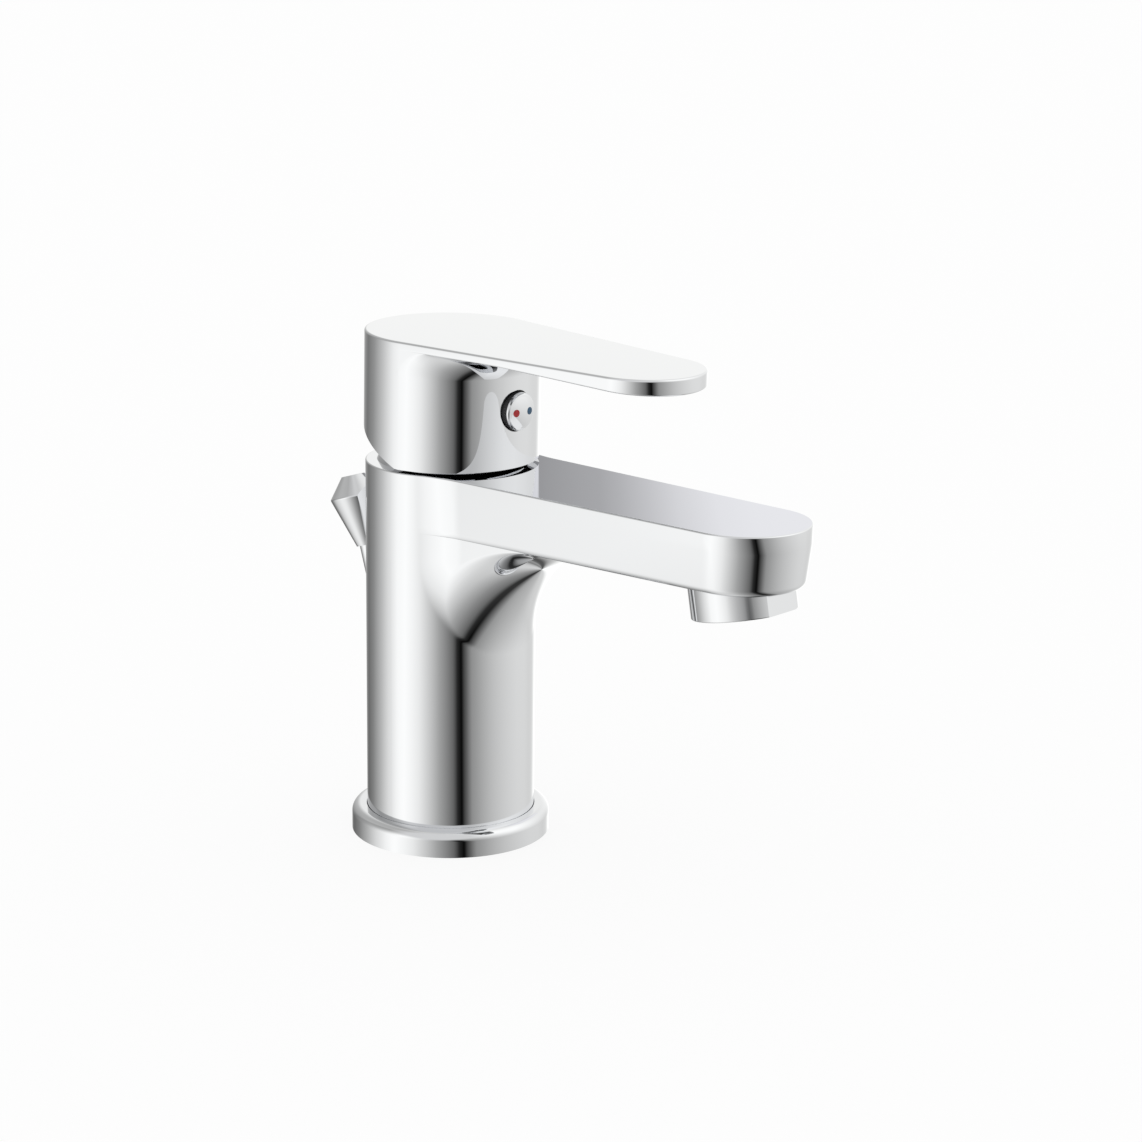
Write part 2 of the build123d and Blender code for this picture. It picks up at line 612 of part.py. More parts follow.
def handle_core():
    """Boss round the stem and the rib that carries the grub screw, clear of the trim cap."""
    ceiling = HANDLE_TOP - HANDLE_CEILING
    core = drum(BOSS_DIA / 2, BODY_HEIGHT, ceiling) + block(RIB_WIDTH, -CUP_R, 0, BODY_HEIGHT, ceiling)
    core &= drum(CUP_R, BODY_HEIGHT, ceiling)
    return core - Pos(0, 0, PIVOT_Z) * Sphere(CAP_R + TRIM_CAP_GAP)


def handle():
    """One casting, drawn upright, then leaned as the shut lever stands."""
    ceiling = HANDLE_TOP - HANDLE_CEILING
    cup = drum(CUP_R, BODY_HEIGHT, ceiling) - handle_core()
    socket = STEM_SQUARE / 2 + RUN_CLEAR
    cup += block(2 * socket, -socket, socket, BODY_HEIGHT, PIVOT_Z + STEM_HEIGHT + MOVE_CLEAR)
    plug_back = -HANDLE_R + PLUG_DEPTH
    cup += bolt_hole(PLUG_DIA / 2 + SEAT_CLEAR, -HANDLE_DIA, plug_back, PLUG_Z)
    cup += bolt_hole(PLUG_DIA / 2 + PLUG_GAP, -HANDLE_DIA, plug_back - PLUG_SEAT, PLUG_Z)
    cup += bolt_hole(GRUB_DIA / 2 + RUN_CLEAR, -HANDLE_R, 0, PLUG_Z)
    casting = handle_outside() - cup
    casting -= below_gap(HANDLE_LEAN)
    casting -= below_gap(HANDLE_LEAN - LIFT_ANGLE)
    return tilted(casting, HANDLE_LEAN)


def grub_screw():
    front = -STEM_SQUARE / 2 - GRUB_LENGTH
    screw = bolt_hole(GRUB_DIA / 2, front, -STEM_SQUARE / 2, PLUG_Z)
    face = Plane(origin=(0, front, PLUG_Z), x_dir=(1, 0, 0), z_dir=(0, 1, 0))
    hexagon = RegularPolygon(GRUB_SOCKET_FLATS / 2, 6, major_radius=False)
    return tilted(screw - extrude(face * hexagon, GRUB_SOCKET_DEPTH, dir=(0, 1, 0)), HANDLE_LEAN)


def plug_dome():
    """Ball whose front is the plug's slightly domed face."""
    radius = ((PLUG_DIA / 2) ** 2 + PLUG_DOME**2) / (2 * PLUG_DOME)
    return Pos(0, radius - HANDLE_R - PLUG_STAND, PLUG_Z) * Sphere(radius)


def dot_way(x, clearance):
    face = -HANDLE_R - PLUG_STAND
    return Pos(x, 0, 0) * bolt_hole(DOT_DIA / 2 + clearance, face, face + DOT_DEPTH, PLUG_Z)


def indicator_plug():
    plug = bolt_hole(PLUG_DIA / 2, -HANDLE_R - PLUG_STAND, -HANDLE_R + PLUG_DEPTH, PLUG_Z)
    plug &= plug_dome()
    plug = fillet(plug.edges().filter_by(GeomType.CIRCLE).sort_by(Axis.Y)[0], PLUG_EDGE_R)
    for x in (-DOT_SPACING / 2, DOT_SPACING / 2):
        plug -= dot_way(x, RUN_CLEAR)
    return tilted(plug, HANDLE_LEAN)


def indicator_dot(side):
    return tilted(dot_way(side * DOT_SPACING / 2, 0) & plug_dome(), HANDLE_LEAN)


def aerator_sleeve():
    """Chromed screw-in sleeve with spanner flats at its front and back."""
    thread_top = AERATOR_COLLAR + AERATOR_THREAD_LENGTH
    sleeve = drum(AERATOR_DIA / 2, 0, AERATOR_COLLAR)
    sleeve += drum(AERATOR_THREAD_DIA / 2, AERATOR_COLLAR, thread_top)
    sleeve -= drum(AERATOR_BORE_DIA / 2, AERATOR_LIP, thread_top)
    sleeve -= drum(AERATOR_BORE_DIA / 2 - AERATOR_LIP, 0, AERATOR_LIP)
    for side in (-1, 1):
        near = side * AERATOR_FLATS / 2
        far = side * AERATOR_DIA
        sleeve -= block(AERATOR_DIA, min(near, far), max(near, far), 0, AERATOR_FLAT_HEIGHT)
    return aerator_frame() * sleeve


def honeycomb_places():
    """Centres of the hexagonal cells, in rings about the middle one."""
    pitch = INSERT_CELL + INSERT_WEB
    places = []
    for row in range(-INSERT_RING_COUNT, INSERT_RING_COUNT + 1):
        count = 2 * INSERT_RING_COUNT + 1 - abs(row)
        for column in range(count):
            places.append((pitch * (column - (count - 1) / 2), pitch * row * sqrt(3) / 2))
    return places


def aerator_insert():
    """Flow straightener: a round plug with hexagonal cells right through it."""
    radius = AERATOR_BORE_DIA / 2 - SEAT_CLEAR
    insert = drum(radius, AERATOR_LIP, AERATOR_LIP + INSERT_HEIGHT)
    cell = RegularPolygon(INSERT_CELL / 2, 6, major_radius=False, rotation=30)
    cells = Sketch() + [Pos(x, y, AERATOR_LIP) * cell for x, y in honeycomb_places()]
    return aerator_frame() * (insert - extrude(cells, INSERT_HEIGHT, dir=(0, 0, 1)))


def aerator_seal():
    low = AERATOR_COLLAR + AERATOR_THREAD_LENGTH
    outer = AERATOR_THREAD_DIA / 2
    seal = drum(outer, low, low + AERATOR_SEAL_HEIGHT)
    return aerator_frame() * (seal - drum(outer - AERATOR_SEAL_WIDTH, low, low + AERATOR_SEAL_HEIGHT))


def lift_rod():
    below = (ROD_EXIT_HEIGHT - ROD_FOOT_CLEAR) / cos(radians(ROD_LEAN))
    length = below + ROD_ABOVE + KNOB_SOCKET
    return rod_frame(-below) * Cylinder(ROD_R, length, align=(Align.CENTER, Align.CENTER, Align.MIN))


def lift_knob():
    """Flared knob with a crown, cut flat on the side that faces the column."""
    rim = KNOB_FLARE
    top = KNOB_FLARE + KNOB_CROWN
    profile = [(0, 0), (KNOB_FOOT_DIA / 2, 0), (KNOB_RIM_DIA / 2, rim), (KNOB_TOP_DIA / 2, top), (0, top)]
    knob = turned(profile)
    rims = knob.edges().filter_by(GeomType.CIRCLE).sort_by(SortBy.RADIUS)
    knob = fillet(rims[-1], KNOB_EDGE_R)
    front = Plane(origin=(0, -KNOB_FLAT_FOOT, 0), x_dir=(1, 0, 0), z_dir=(0, 1, tan(radians(KNOB_FLAT_LEAN))))
    slab = Box(2 * KNOB_RIM_DIA, 4 * top, top, align=(Align.CENTER, Align.CENTER, Align.MAX))
    knob -= front * slab
    return rod_frame(ROD_ABOVE) * (knob - drum(ROD_R + RUN_CLEAR, 0, KNOB_SOCKET))


PIECES = {
    "body_casting": body_casting,
    "base_ring": base_ring,
    "base_gasket": base_gasket,
    "cartridge_port_base": port_base,
    "cartridge_port_seals": port_seals,
    "ceramic_disc_fixed": fixed_disc,
    "ceramic_disc_moving": moving_disc,
    "disc_carrier": disc_carrier,
    "cartridge_housing": cartridge_cage,
    "cartridge_o_ring": cage_o_ring,
    "cartridge_spindle": spindle,
    "spindle_o_ring": spindle_o_ring,
    "temperature_limit_ring": limit_ring,
    "cartridge_nut": cartridge_nut,
    "trim_cap": trim_cap,
    "lever_stem": stem,
    "lever_pivot_pin": pivot_pin,
    "handle": handle,
    "handle_grub_screw": grub_screw,
    "indicator_plug": indicator_plug,
    "indicator_dot_hot": lambda: indicator_dot(-1),
    "indicator_dot_cold": lambda: indicator_dot(1),
    "aerator_sleeve": aerator_sleeve,
    "aerator_insert": aerator_insert,
    "aerator_seal": aerator_seal,
    "lift_rod": lift_rod,
    "lift_knob": lift_knob,
}

os.makedirs("parts", exist_ok=True)
for name, make in PIECES.items():
    piece = make()
    export_step(piece, f"parts/{name}.step")
    size = piece.bounding_box().size
    print(f"{name}: {len(piece.solids())} solid, {size.X:.1f} x {size.Y:.1f} x {size.Z:.1f} mm")
print(f"disc travel {DISC_TRAVEL:.3f} mm for {LIFT_ANGLE:.0f} degrees of lift")
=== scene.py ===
# %% [markdown]
# # A chrome basin mixer, dressed for the camera
# The frame brings the solids of a bathroom mixer and says how they move. A mirror shows every facet, so
# this lesson gives the polished outside pieces smooth meshes, finishes them and sets them in a white
# studio. Sizes are in millimetres and become metres when a mesh is made. The spout points to -Y, and Z
# is up.

import json
import math

import bpy
from mathutils import Matrix, Vector


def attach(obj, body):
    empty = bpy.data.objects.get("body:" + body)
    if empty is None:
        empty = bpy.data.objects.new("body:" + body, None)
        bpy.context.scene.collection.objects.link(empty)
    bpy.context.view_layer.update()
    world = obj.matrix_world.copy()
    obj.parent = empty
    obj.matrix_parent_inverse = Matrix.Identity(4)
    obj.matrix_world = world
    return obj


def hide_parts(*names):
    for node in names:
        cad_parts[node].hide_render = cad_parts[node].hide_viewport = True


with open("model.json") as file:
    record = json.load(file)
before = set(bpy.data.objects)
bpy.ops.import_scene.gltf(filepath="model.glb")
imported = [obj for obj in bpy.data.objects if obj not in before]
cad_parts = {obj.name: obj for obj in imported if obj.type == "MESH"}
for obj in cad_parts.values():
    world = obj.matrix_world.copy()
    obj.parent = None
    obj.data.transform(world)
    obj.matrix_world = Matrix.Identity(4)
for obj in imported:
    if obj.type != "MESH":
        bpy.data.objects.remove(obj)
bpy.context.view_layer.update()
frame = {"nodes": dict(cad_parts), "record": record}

# %% [markdown]
# ## Tools for meshes
# Most pieces of a mixer are turned on a lathe, so a profile is drawn and spun. The casting and the
# handle are free forms. Modifiers would leave waves that a mirror shows, so these two are built from
# rings of points, each ring a plan outline at its own level. Both kinds are welded, turned outwards and
# smoothed in the same way.

# %% Finish a mesh
MM = 0.001
WELD = 2e-6


def pick(piece):
    """Make one object active and the only one that is selected."""
    bpy.ops.object.select_all(action="DESELECT")
    bpy.context.view_layer.objects.active = piece
    piece.select_set(True)


def new_mesh(name, points, edges, faces):
    """Object whose mesh is given by points in millimetres."""
    mesh = bpy.data.meshes.new(name)
    mesh.from_pydata([tuple(c * MM for c in point) for point in points], edges, faces)
    piece = bpy.data.objects.new(name, mesh)
    bpy.context.scene.collection.objects.link(piece)
    return piece


def weld():
    """In edit mode, merge doubles, drop loose edges and turn every face outwards."""
    bpy.ops.mesh.select_all(action="SELECT")
    bpy.ops.mesh.remove_doubles(threshold=WELD)
    bpy.ops.mesh.select_all(action="SELECT")
    bpy.ops.mesh.delete_loose()
    bpy.ops.mesh.select_all(action="SELECT")
    bpy.ops.mesh.normals_make_consistent(inside=False)


def smooth(piece, degrees):
    """Smooth shading that breaks at edges sharper than an angle and leaves large flats flat."""
    pick(piece)
    bpy.ops.object.shade_smooth_by_angle(angle=math.radians(degrees))
    step = piece.modifiers.new("flats", "WEIGHTED_NORMAL")
    step.keep_sharp = True
    bpy.ops.object.modifier_apply(modifier=step.name)


def stand_for(piece, body, node):
    """Let a finished piece take the place of a solid and move with its body."""
    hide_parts(node)
    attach(piece, body)


print("tools to finish a mesh are ready")

# %% [markdown]
# Holes are cut by a boolean with a plain tool that is thrown away afterwards. The exact solver is slower
# than the fast one, but it leaves a clean rim, and on a mirror the rim is what the eye finds.

# %% Cut a mesh
DRILL_SIDES = 96


def cut(piece, tool):
    """Cut one mesh from another and drop the tool."""
    pick(piece)
    step = piece.modifiers.new("cut", "BOOLEAN")
    step.operation = "DIFFERENCE"
    step.solver = "EXACT"
    step.object = tool
    bpy.ops.object.modifier_apply(modifier=step.name)
    mesh = tool.data
    bpy.data.objects.remove(tool)
    bpy.data.meshes.remove(mesh)


def drill(piece, radius, low, high, place):
    """Cut a round hole between two heights of a placing matrix."""
    bpy.ops.object.select_all(action="DESELECT")
    size = {"radius": radius * MM, "depth": (high - low) * MM}
    bpy.ops.mesh.primitive_cylinder_add(vertices=DRILL_SIDES, calc_uvs=False, **size)
    tool = bpy.context.object
    tool.data.transform(place @ Matrix.Translation((0, 0, (low + high) / 2 * MM)))
    cut(piece, tool)


def shift(x, y, z):
    """Placing matrix from millimetres."""
    return Matrix.Translation((x * MM, y * MM, z * MM))


def tip_up(degrees):
    """Placing matrix that turns about X."""
    return Matrix.Rotation(math.radians(degrees), 4, "X")


print("tools to cut a mesh are ready")

# %% [markdown]
# A ring is a list of points in plan that is lifted to its level. Bridging edge loops could join rings
# too, but then Blender picks which points meet. Here the first point of a ring always meets the first of
# the next.

# %% Lines and rings


def shares(first, last, steps):
    """Even steps from one number to another, ends included."""
    return [first + (last - first) * i / steps for i in range(steps + 1)]


def quarter(steps):
    """Angles of a quarter turn, ends included."""
    return shares(0, math.pi / 2, steps)


def between(one, two, share):
    """Point at a share of the way from one point to another."""
    return tuple(a + share * (b - a) for a, b in zip(one, two))


def arc(radius, cx, cy, start, end, steps):
    """Points of an arc in plan."""
    return [(cx + radius * math.cos(t), cy + radius * math.sin(t)) for t in shares(start, end, steps)]


def lift(outline, level):
    """Give a plan outline its height, which is a number or a function of Y."""
    if callable(level):
        return [(x, y, level(y)) for x, y in outline]
    return [(x, y, level) for x, y in outline]


def strip(points, faces, rings, closed=True):
    """Join each ring to the next one by four-sided faces."""
    for low, high in zip(rings, rings[1:]):
        start = len(points)
        count = len(low)
        points.extend(low)
        points.extend(high)
        for i in range(count if closed else count - 1):
            j = (i + 1) % count
            faces.append((start + i, start + j, start + count + j, start + count + i))


def cap(points, faces, ring):
    """Fill one flat ring."""
    start = len(points)
    points.extend(ring)
    faces.append(tuple(range(start, start + len(ring))))


def skin(name, points, faces):
    """Closed skin from rings that were joined."""
    piece = new_mesh(name, points, [], faces)
    pick(piece)
    bpy.ops.object.mode_set(mode="EDIT")
    weld()
    bpy.ops.object.mode_set(mode="OBJECT")
    return piece


print("tools for rings are ready")

# %% [markdown]
# ## The body
# The column, the spout and the blend between them are one brass casting that is ground and plated. Seen
# from above, the column is a circle and the spout a narrower tongue with a round end, and a wide inner
# corner on each side leads from one to the other. Below the spout the tongue draws back on a quarter
# ellipse, and grows as wide as the column, until it is lost in it. So a soft valley runs down between
# the two, with no crease at its foot.

# %% Outlines of the body
COLUMN_R = 23.0
BODY_TOP = 104.2
SPOUT_UNDER = 88.4
BAND_LOW = 99.6
SPOUT_REACH = 101.0
SPOUT_ROOT_R = 19.4
SPOUT_R = 16.85
SPOUT_TAPER = 1.2
LOWER_ROUND = 1.8
TOP_EDGE = 0.4
CORNER_R = 37.0
FINE_STEPS = 60
TINY = 1e-9
UNDER_R = SPOUT_R - SPOUT_TAPER - LOWER_ROUND
UNDER_SLOPE = (SPOUT_ROOT_R - UNDER_R) / SPOUT_REACH


def half_outline(tip_r, reach, edge=0.0, split=None, root_r=SPOUT_ROOT_R):
    """Right half of column and tongue: one run to the end of the side or a split, one round the tip."""
    column_r = COLUMN_R - edge
    corner_r = CORNER_R + edge
    side = math.asin((root_r - tip_r) / reach)
    across = Vector((math.cos(side), -math.sin(side)))
    along = Vector((-math.sin(side), -math.cos(side)))
    far = column_r + corner_r
    start = math.sqrt(far**2 - (root_r + CORNER_R) ** 2)
    if start <= reach * math.cos(side):
        middle = across * (root_r + CORNER_R) + along * start
        begin = -side
    else:
        cosine = (far**2 + reach**2 - (tip_r + CORNER_R) ** 2) / (2 * far * reach)
        turn = math.acos(min(cosine, 1.0))
        middle = Vector((far * math.sin(turn), -far * math.cos(turn)))
        begin = math.atan2(middle.y + reach, middle.x)
    leave = math.atan2(middle.y, middle.x)
    root = arc(column_r, 0, 0, 0, leave, FINE_STEPS)
    root += arc(corner_r, middle.x, middle.y, leave + math.pi, begin + math.pi, FINE_STEPS)
    tip = arc(tip_r - edge, 0, -reach, begin, -math.pi / 2, 2 * FINE_STEPS)
    if split is None:
        root.append(tip[0])
    else:
        root.append(tuple(across * (root_r - edge) + along * split))
        tip.insert(0, root[-1])
    return root, tip


def lengths(line):
    """Length of a line up to each of its points."""
    runs = [0.0]
    for one, two in zip(line, line[1:]):
        runs.append(runs[-1] + math.dist(one, two))
    return runs


def spaced(line, places):
    """Points of a line at shares of its length."""
    runs = lengths(line)
    done = []
    at = 0
    for place in places:
        goal = runs[-1] * place
        while at < len(line) - 2 and runs[at + 1] < goal:
            at += 1
        share = (goal - runs[at]) / max(runs[at + 1] - runs[at], TINY)
        done.append(between(line[at], line[at + 1], share))
    return done


print("outlines: underside of the tip", round(2 * UNDER_R, 2), "mm wide")

# %% [markdown]
# Every ring has the same number of points, spread in the same way, so that the joined faces stay nearly
# square and light runs along them without a break.

# %% Rings of the body
BACK_STEPS = 72
ROOT_STEPS = 80
TIP_STEPS = 120
BLEND_DROP = 34.0
BLEND_RUN = 38.0
ROOT_EASE = 3.0


def full_ring(half, level, column_r=COLUMN_R):
    """Closed ring at a level: the column's back, then the left half and the right half."""
    left = [(-x, y) for x, y in half[1:]]
    return lift(arc(column_r, 0, 0, 0, math.pi, BACK_STEPS) + left + half[-2:0:-1], level)


def spout_ring(tip_r, level, split, edge=0.0):
    """Ring round column and spout, with a point where the flat underside starts."""
    root, tip = half_outline(tip_r, SPOUT_REACH, edge, split)
    half = spaced(root, shares(0, 1, ROOT_STEPS)) + spaced(tip, shares(0, 1, TIP_STEPS))[1:]
    return full_ring(half, level, COLUMN_R - edge)


def blend_half(turn):
    """Half outline under the spout at a turn of the quarter ellipse, and how far its tongue reaches."""
    front = COLUMN_R + BLEND_RUN * (1 - math.cos(turn))
    root_r = SPOUT_ROOT_R + (COLUMN_R - SPOUT_ROOT_R) * (1 - math.sin(turn)) ** ROOT_EASE
    reach = (front - root_r) / (1 - UNDER_SLOPE)
    return half_outline(root_r - UNDER_SLOPE * reach, reach, root_r=root_r), reach


(root, nose), nose_reach = blend_half(math.pi / 2)
split = nose_reach * math.cos(math.asin(UNDER_SLOPE))
root_share = lengths(root)[-1] / (lengths(root)[-1] + lengths(nose)[-1])
places = shares(0, root_share, ROOT_STEPS) + shares(root_share, 1, TIP_STEPS)[1:]
print("the flat underside starts", round(nose_reach, 1), "mm in front of the column's axis")

# %% [markdown]
# The rings of the column and the blend come first, then the flat underside in front of them. After that
# the rings go on over the rounded lower edge, the side, the band and the top edge, and down into the
# bore. The bore leads to the cartridge's seat, and the chamber for the hoses is open below.

# %% Body casting
BLEND_RINGS = 96
FLAT_STEPS = 10
ROUND_STEPS = 8
EDGE_STEPS = 5
NUT_BORE_R = 19.0
COLLAR_TOP = 97.0
SEAT_R = 17.6
SEAT_Z = 66.0
CHAMBER_R = 18.5
CHAMBER_TOP = 40.0
BORE_SPREAD = 0.35
points, faces = [], []
quarter_column = spaced(arc(COLUMN_R, 0, 0, 0, -math.pi / 2, 4 * FINE_STEPS), places)
rings = [full_ring(quarter_column, 0.0), full_ring(quarter_column, SPOUT_UNDER - BLEND_DROP)]
foot = [(x, y) for x, y, z in rings[0]]
for turn in quarter(BLEND_RINGS)[1:]:
    root, nose = blend_half(turn)[0]
    half = spaced(root + nose[1:], places)
    rings.append(full_ring(half, SPOUT_UNDER - BLEND_DROP * (1 - math.sin(turn))))
strip(points, faces, rings)

flats = []
nose = half[ROOT_STEPS:]
tip = spaced(half_outline(UNDER_R, SPOUT_REACH, 0.0, split)[1], shares(0, 1, TIP_STEPS))
for share in shares(0, 1, FLAT_STEPS):
    half = [between(one, two, share) for one, two in zip(nose, tip)]
    flats.append(lift([(-x, y) for x, y in half] + half[-2::-1], SPOUT_UNDER))
strip(points, faces, flats, closed=False)

rings = []
for turn in quarter(ROUND_STEPS):
    level = SPOUT_UNDER + LOWER_ROUND * (1 - math.cos(turn))
    rings.append(spout_ring(UNDER_R + LOWER_ROUND * math.sin(turn), level, split))
rings.append(spout_ring(SPOUT_R, BAND_LOW, split))
for turn in quarter(EDGE_STEPS):
    edge = TOP_EDGE * (1 - math.cos(turn))
    rings.append(spout_ring(SPOUT_R, BODY_TOP - TOP_EDGE * (1 - math.sin(turn)), split, edge))
bore = []
for x, y, z in rings[-1]:
    turn = math.atan2(y + BORE_SPREAD * max(0.0, -y), x)
    bore.append((NUT_BORE_R * math.cos(turn), NUT_BORE_R * math.sin(turn)))
seat = [(x * SEAT_R / NUT_BORE_R, y * SEAT_R / NUT_BORE_R) for x, y in bore]
rings += [lift(bore, BODY_TOP), lift(bore, COLLAR_TOP), lift(seat, COLLAR_TOP), lift(seat, SEAT_Z)]
strip(points, faces, rings)
cap(points, faces, rings[-1])
chamber = [(x * CHAMBER_R / COLUMN_R, y * CHAMBER_R / COLUMN_R) for x, y in foot]
strip(points, faces, [lift(foot, 0.0), lift(chamber, 0.0), lift(chamber, CHAMBER_TOP)])
cap(points, faces, lift(chamber, CHAMBER_TOP))
body = skin("body_skin", points, faces)
print("body skin:", len(body.data.polygons), "faces")

# %% [markdown]
# The holes for the lift rod, the two hoses and the aerator are drilled last, as in the workshop, so the
# closed skin never has a piece that pokes through it. Rings with gaps could leave them open from the
# start, but the holes lean, so they would cross many rings.

# %% Holes in the body
ROD_R = 2.5
ROD_LEAN = 17.4
ROD_EXIT = 46.6
ROD_CLEAR = 0.05
ROD_HOLE = (-46.0, 30.0)
INLET_X = 9.0
INLET_Y = -1.0
INLET_R = 4.5
INLET_DEPTH = 12.0
INLET_START = 5.0
AERATOR_R = 13.5
AERATOR_TILT = 10.4
AERATOR_Y = -101.6
AERATOR_Z = 80.7
AERATOR_CLEAR = 0.1
AERATOR_HOLE = (-5.0, 18.0)
rod_place = shift(0, COLUMN_R, ROD_EXIT) @ tip_up(-ROD_LEAN)
aerator_place = shift(0, AERATOR_Y, AERATOR_Z) @ tip_up(-AERATOR_TILT)
drill(body, ROD_R + ROD_CLEAR, *ROD_HOLE, rod_place)
for x in (-INLET_X, INLET_X):
    inlet = shift(x, INLET_Y, CHAMBER_TOP)
    drill(body, INLET_R, -INLET_START, INLET_DEPTH, inlet)
drill(body, AERATOR_R + AERATOR_CLEAR, *AERATOR_HOLE, aerator_place)
smooth(body, degrees=30)
stand_for(body, "body", "body_casting")
print("body after its holes:", len(body.data.polygons), "faces")

# %% [markdown]
# ## Turned pieces
# A turned piece is a closed profile of radius and height. Its points are spun about Z in edit mode, and
# the seam and the poles are welded. A Screw modifier could do the same. The spin is chosen because it
# leaves a plain mesh at once, ready to be welded and cut.

# %% Lathe


def turned(name, profile, place=None, steps=192):
    """Spin a closed profile of (radius, height) points about Z and put it in place."""
    count = len(profile)
    edges = [(i, (i + 1) % count) for i in range(count)]
    piece = new_mesh(name, [(r, 0.0, z) for r, z in profile], edges, [])
    pick(piece)
    bpy.ops.object.mode_set(mode="EDIT")
    bpy.ops.mesh.select_all(action="SELECT")
    bpy.ops.mesh.spin(steps=steps, angle=2 * math.pi, center=(0, 0, 0), axis=(0, 0, 1))
    weld()
    bpy.ops.object.mode_set(mode="OBJECT")
    if place is not None:
        piece.data.transform(place)
    return piece


def rounded(corner, before, after, radius, steps):
    """Points of an arc that rounds one corner of a profile."""
    corner, before, after = Vector(corner), Vector(before), Vector(after)
    one = (before - corner).normalized()
    two = (after - corner).normalized()
    half = one.angle(two) / 2
    middle = corner + (one + two).normalized() * (radius / math.sin(half))
    first = corner + one * (radius / math.tan(half)) - middle
    last = corner + two * (radius / math.tan(half)) - middle
    sweep = first.angle(last)
    done = []
    for share in shares(0, 1, steps):
        a = math.sin((1 - share) * sweep) / math.sin(sweep)
        b = math.sin(share * sweep) / math.sin(sweep)
        done.append(tuple(middle + first * a + last * b))
    return done


print("the lathe is ready")

# %% [markdown]
# The boss for the fixing stud hangs in the hose chamber and has a blind hole from below. It is a plain
# turned peg, part of the casting.

# %% Stud boss
BOSS_R = 6.25
BOSS_Y = -11.0
BOSS_LOW = 8.0
STUD_R = 3.4
STUD_TOP = 24.0
boss_profile = [(STUD_R, BOSS_LOW), (BOSS_R, BOSS_LOW), (BOSS_R, CHAMBER_TOP)]
boss_profile += [(0, CHAMBER_TOP), (0, STUD_TOP), (STUD_R, STUD_TOP)]
boss = turned("stud_boss", boss_profile, shift(0, BOSS_Y, 0), steps=64)
smooth(boss, degrees=30)
stand_for(boss, "body", "body_casting")
print("stud boss:", len(boss.data.polygons), "faces")

# %% [markdown]
# ## The handle
# The barrel and the flat lever are one die casting. The foot is cut by two planes: one lies over the
# body while the tap is shut, and one while the lever is fully lifted. In plan the lever is two circles
# and their common tangents. A short quarter ellipse leads from the barrel to the lever's underside. A
# bevel could round that corner, but only by a circle, so it is made of rings as the body is.

# %% Outlines of the handle
PIVOT = 96.0
LEAN = 1.0
LIFT = 25.0
HANDLE_R = 23.55
HANDLE_FOOT = 105.2
HANDLE_TOP = 139.4
LEVER_REACH = 66.3
LEVER_R = 16.35
LEVER_ROOT = 2.2
LEVER_TIP = 4.4
LEVER_DROP = 7.0
LEVER_RUN = 9.0
LEVER_SOFT = 0.5
LEVER_EDGE = 0.6
SIDE_STEPS = 14
FRONT_STEPS = 96
under_tip_r = LEVER_R - LEVER_SOFT
under_side = math.asin((HANDLE_R - under_tip_r) / LEVER_REACH)
tilt = shift(0, 0, PIVOT) @ tip_up(LEAN) @ shift(0, 0, -PIVOT)


def pear(root_r, tip_r, reach, sides, side=None):
    """Plan outline of two circles and their common tangents, with side points at the given shares."""
    if side is None:
        side = math.asin((root_r - tip_r) / reach)
    behind = arc(root_r, 0, 0, -side, math.pi + side, BACK_STEPS)
    front = arc(tip_r, 0, -reach, math.pi + side, 2 * math.pi - side, FRONT_STEPS)
    left = [between(behind[-1], front[0], share) for share in sides[1:-1]]
    return behind + left + front + [(-x, y) for x, y in reversed(left)]


def handle_foot(y):
    """Level of the handle's foot, the higher of its two planes."""
    levels = []
    for degrees in (LEAN, LEAN - LIFT):
        turn = math.radians(degrees)
        levels.append(PIVOT + (HANDLE_FOOT - PIVOT) / math.cos(turn) - y * math.tan(turn))
    return max(levels)


def lever_under(y):
    """Level of the lever's underside, which sinks towards the tip."""
    start = HANDLE_R + LEVER_RUN
    share = (-y - start) / (LEVER_REACH + LEVER_R - start)
    return HANDLE_TOP - LEVER_ROOT - (LEVER_TIP - LEVER_ROOT) * min(max(share, 0.0), 1.0)


print("handle foot, front and back:", [round(handle_foot(y), 2) for y in (-HANDLE_R, HANDLE_R)])

# %% [markdown]
# The rings run up the barrel and out along the blend, then the underside follows on its own, and then
# the soft lower edge, the thin side and the top edge. The cup inside hides the cartridge's nut.

# %% Handle
LEVER_RINGS = 24
SOFT_STEPS = 4
CUP_R = 20.75
CUP_TOP = 134.8
points, faces = [], []
even = shares(0, 1, SIDE_STEPS)
barrel = pear(HANDLE_R, HANDLE_R, 0.0, even, under_side)
under = HANDLE_TOP - LEVER_ROOT
rings = [lift(barrel, handle_foot), lift(barrel, under - LEVER_DROP)]
for turn in quarter(LEVER_RINGS)[1:]:
    forward = LEVER_RUN * (1 - math.cos(turn))
    end_r = HANDLE_R - (HANDLE_R - under_tip_r) * forward / LEVER_REACH
    rings.append(lift(pear(HANDLE_R, end_r, forward, even), under - LEVER_DROP * (1 - math.sin(turn))))
strip(points, faces, rings)
flats = []
for forward in shares(LEVER_RUN, LEVER_REACH, FLAT_STEPS):
    end_r = HANDLE_R - (HANDLE_R - under_tip_r) * forward / LEVER_REACH
    front = arc(end_r, 0, -forward, math.pi + under_side, 2 * math.pi - under_side, FRONT_STEPS)
    flats.append(lift(front, lever_under))
strip(points, faces, flats, closed=False)

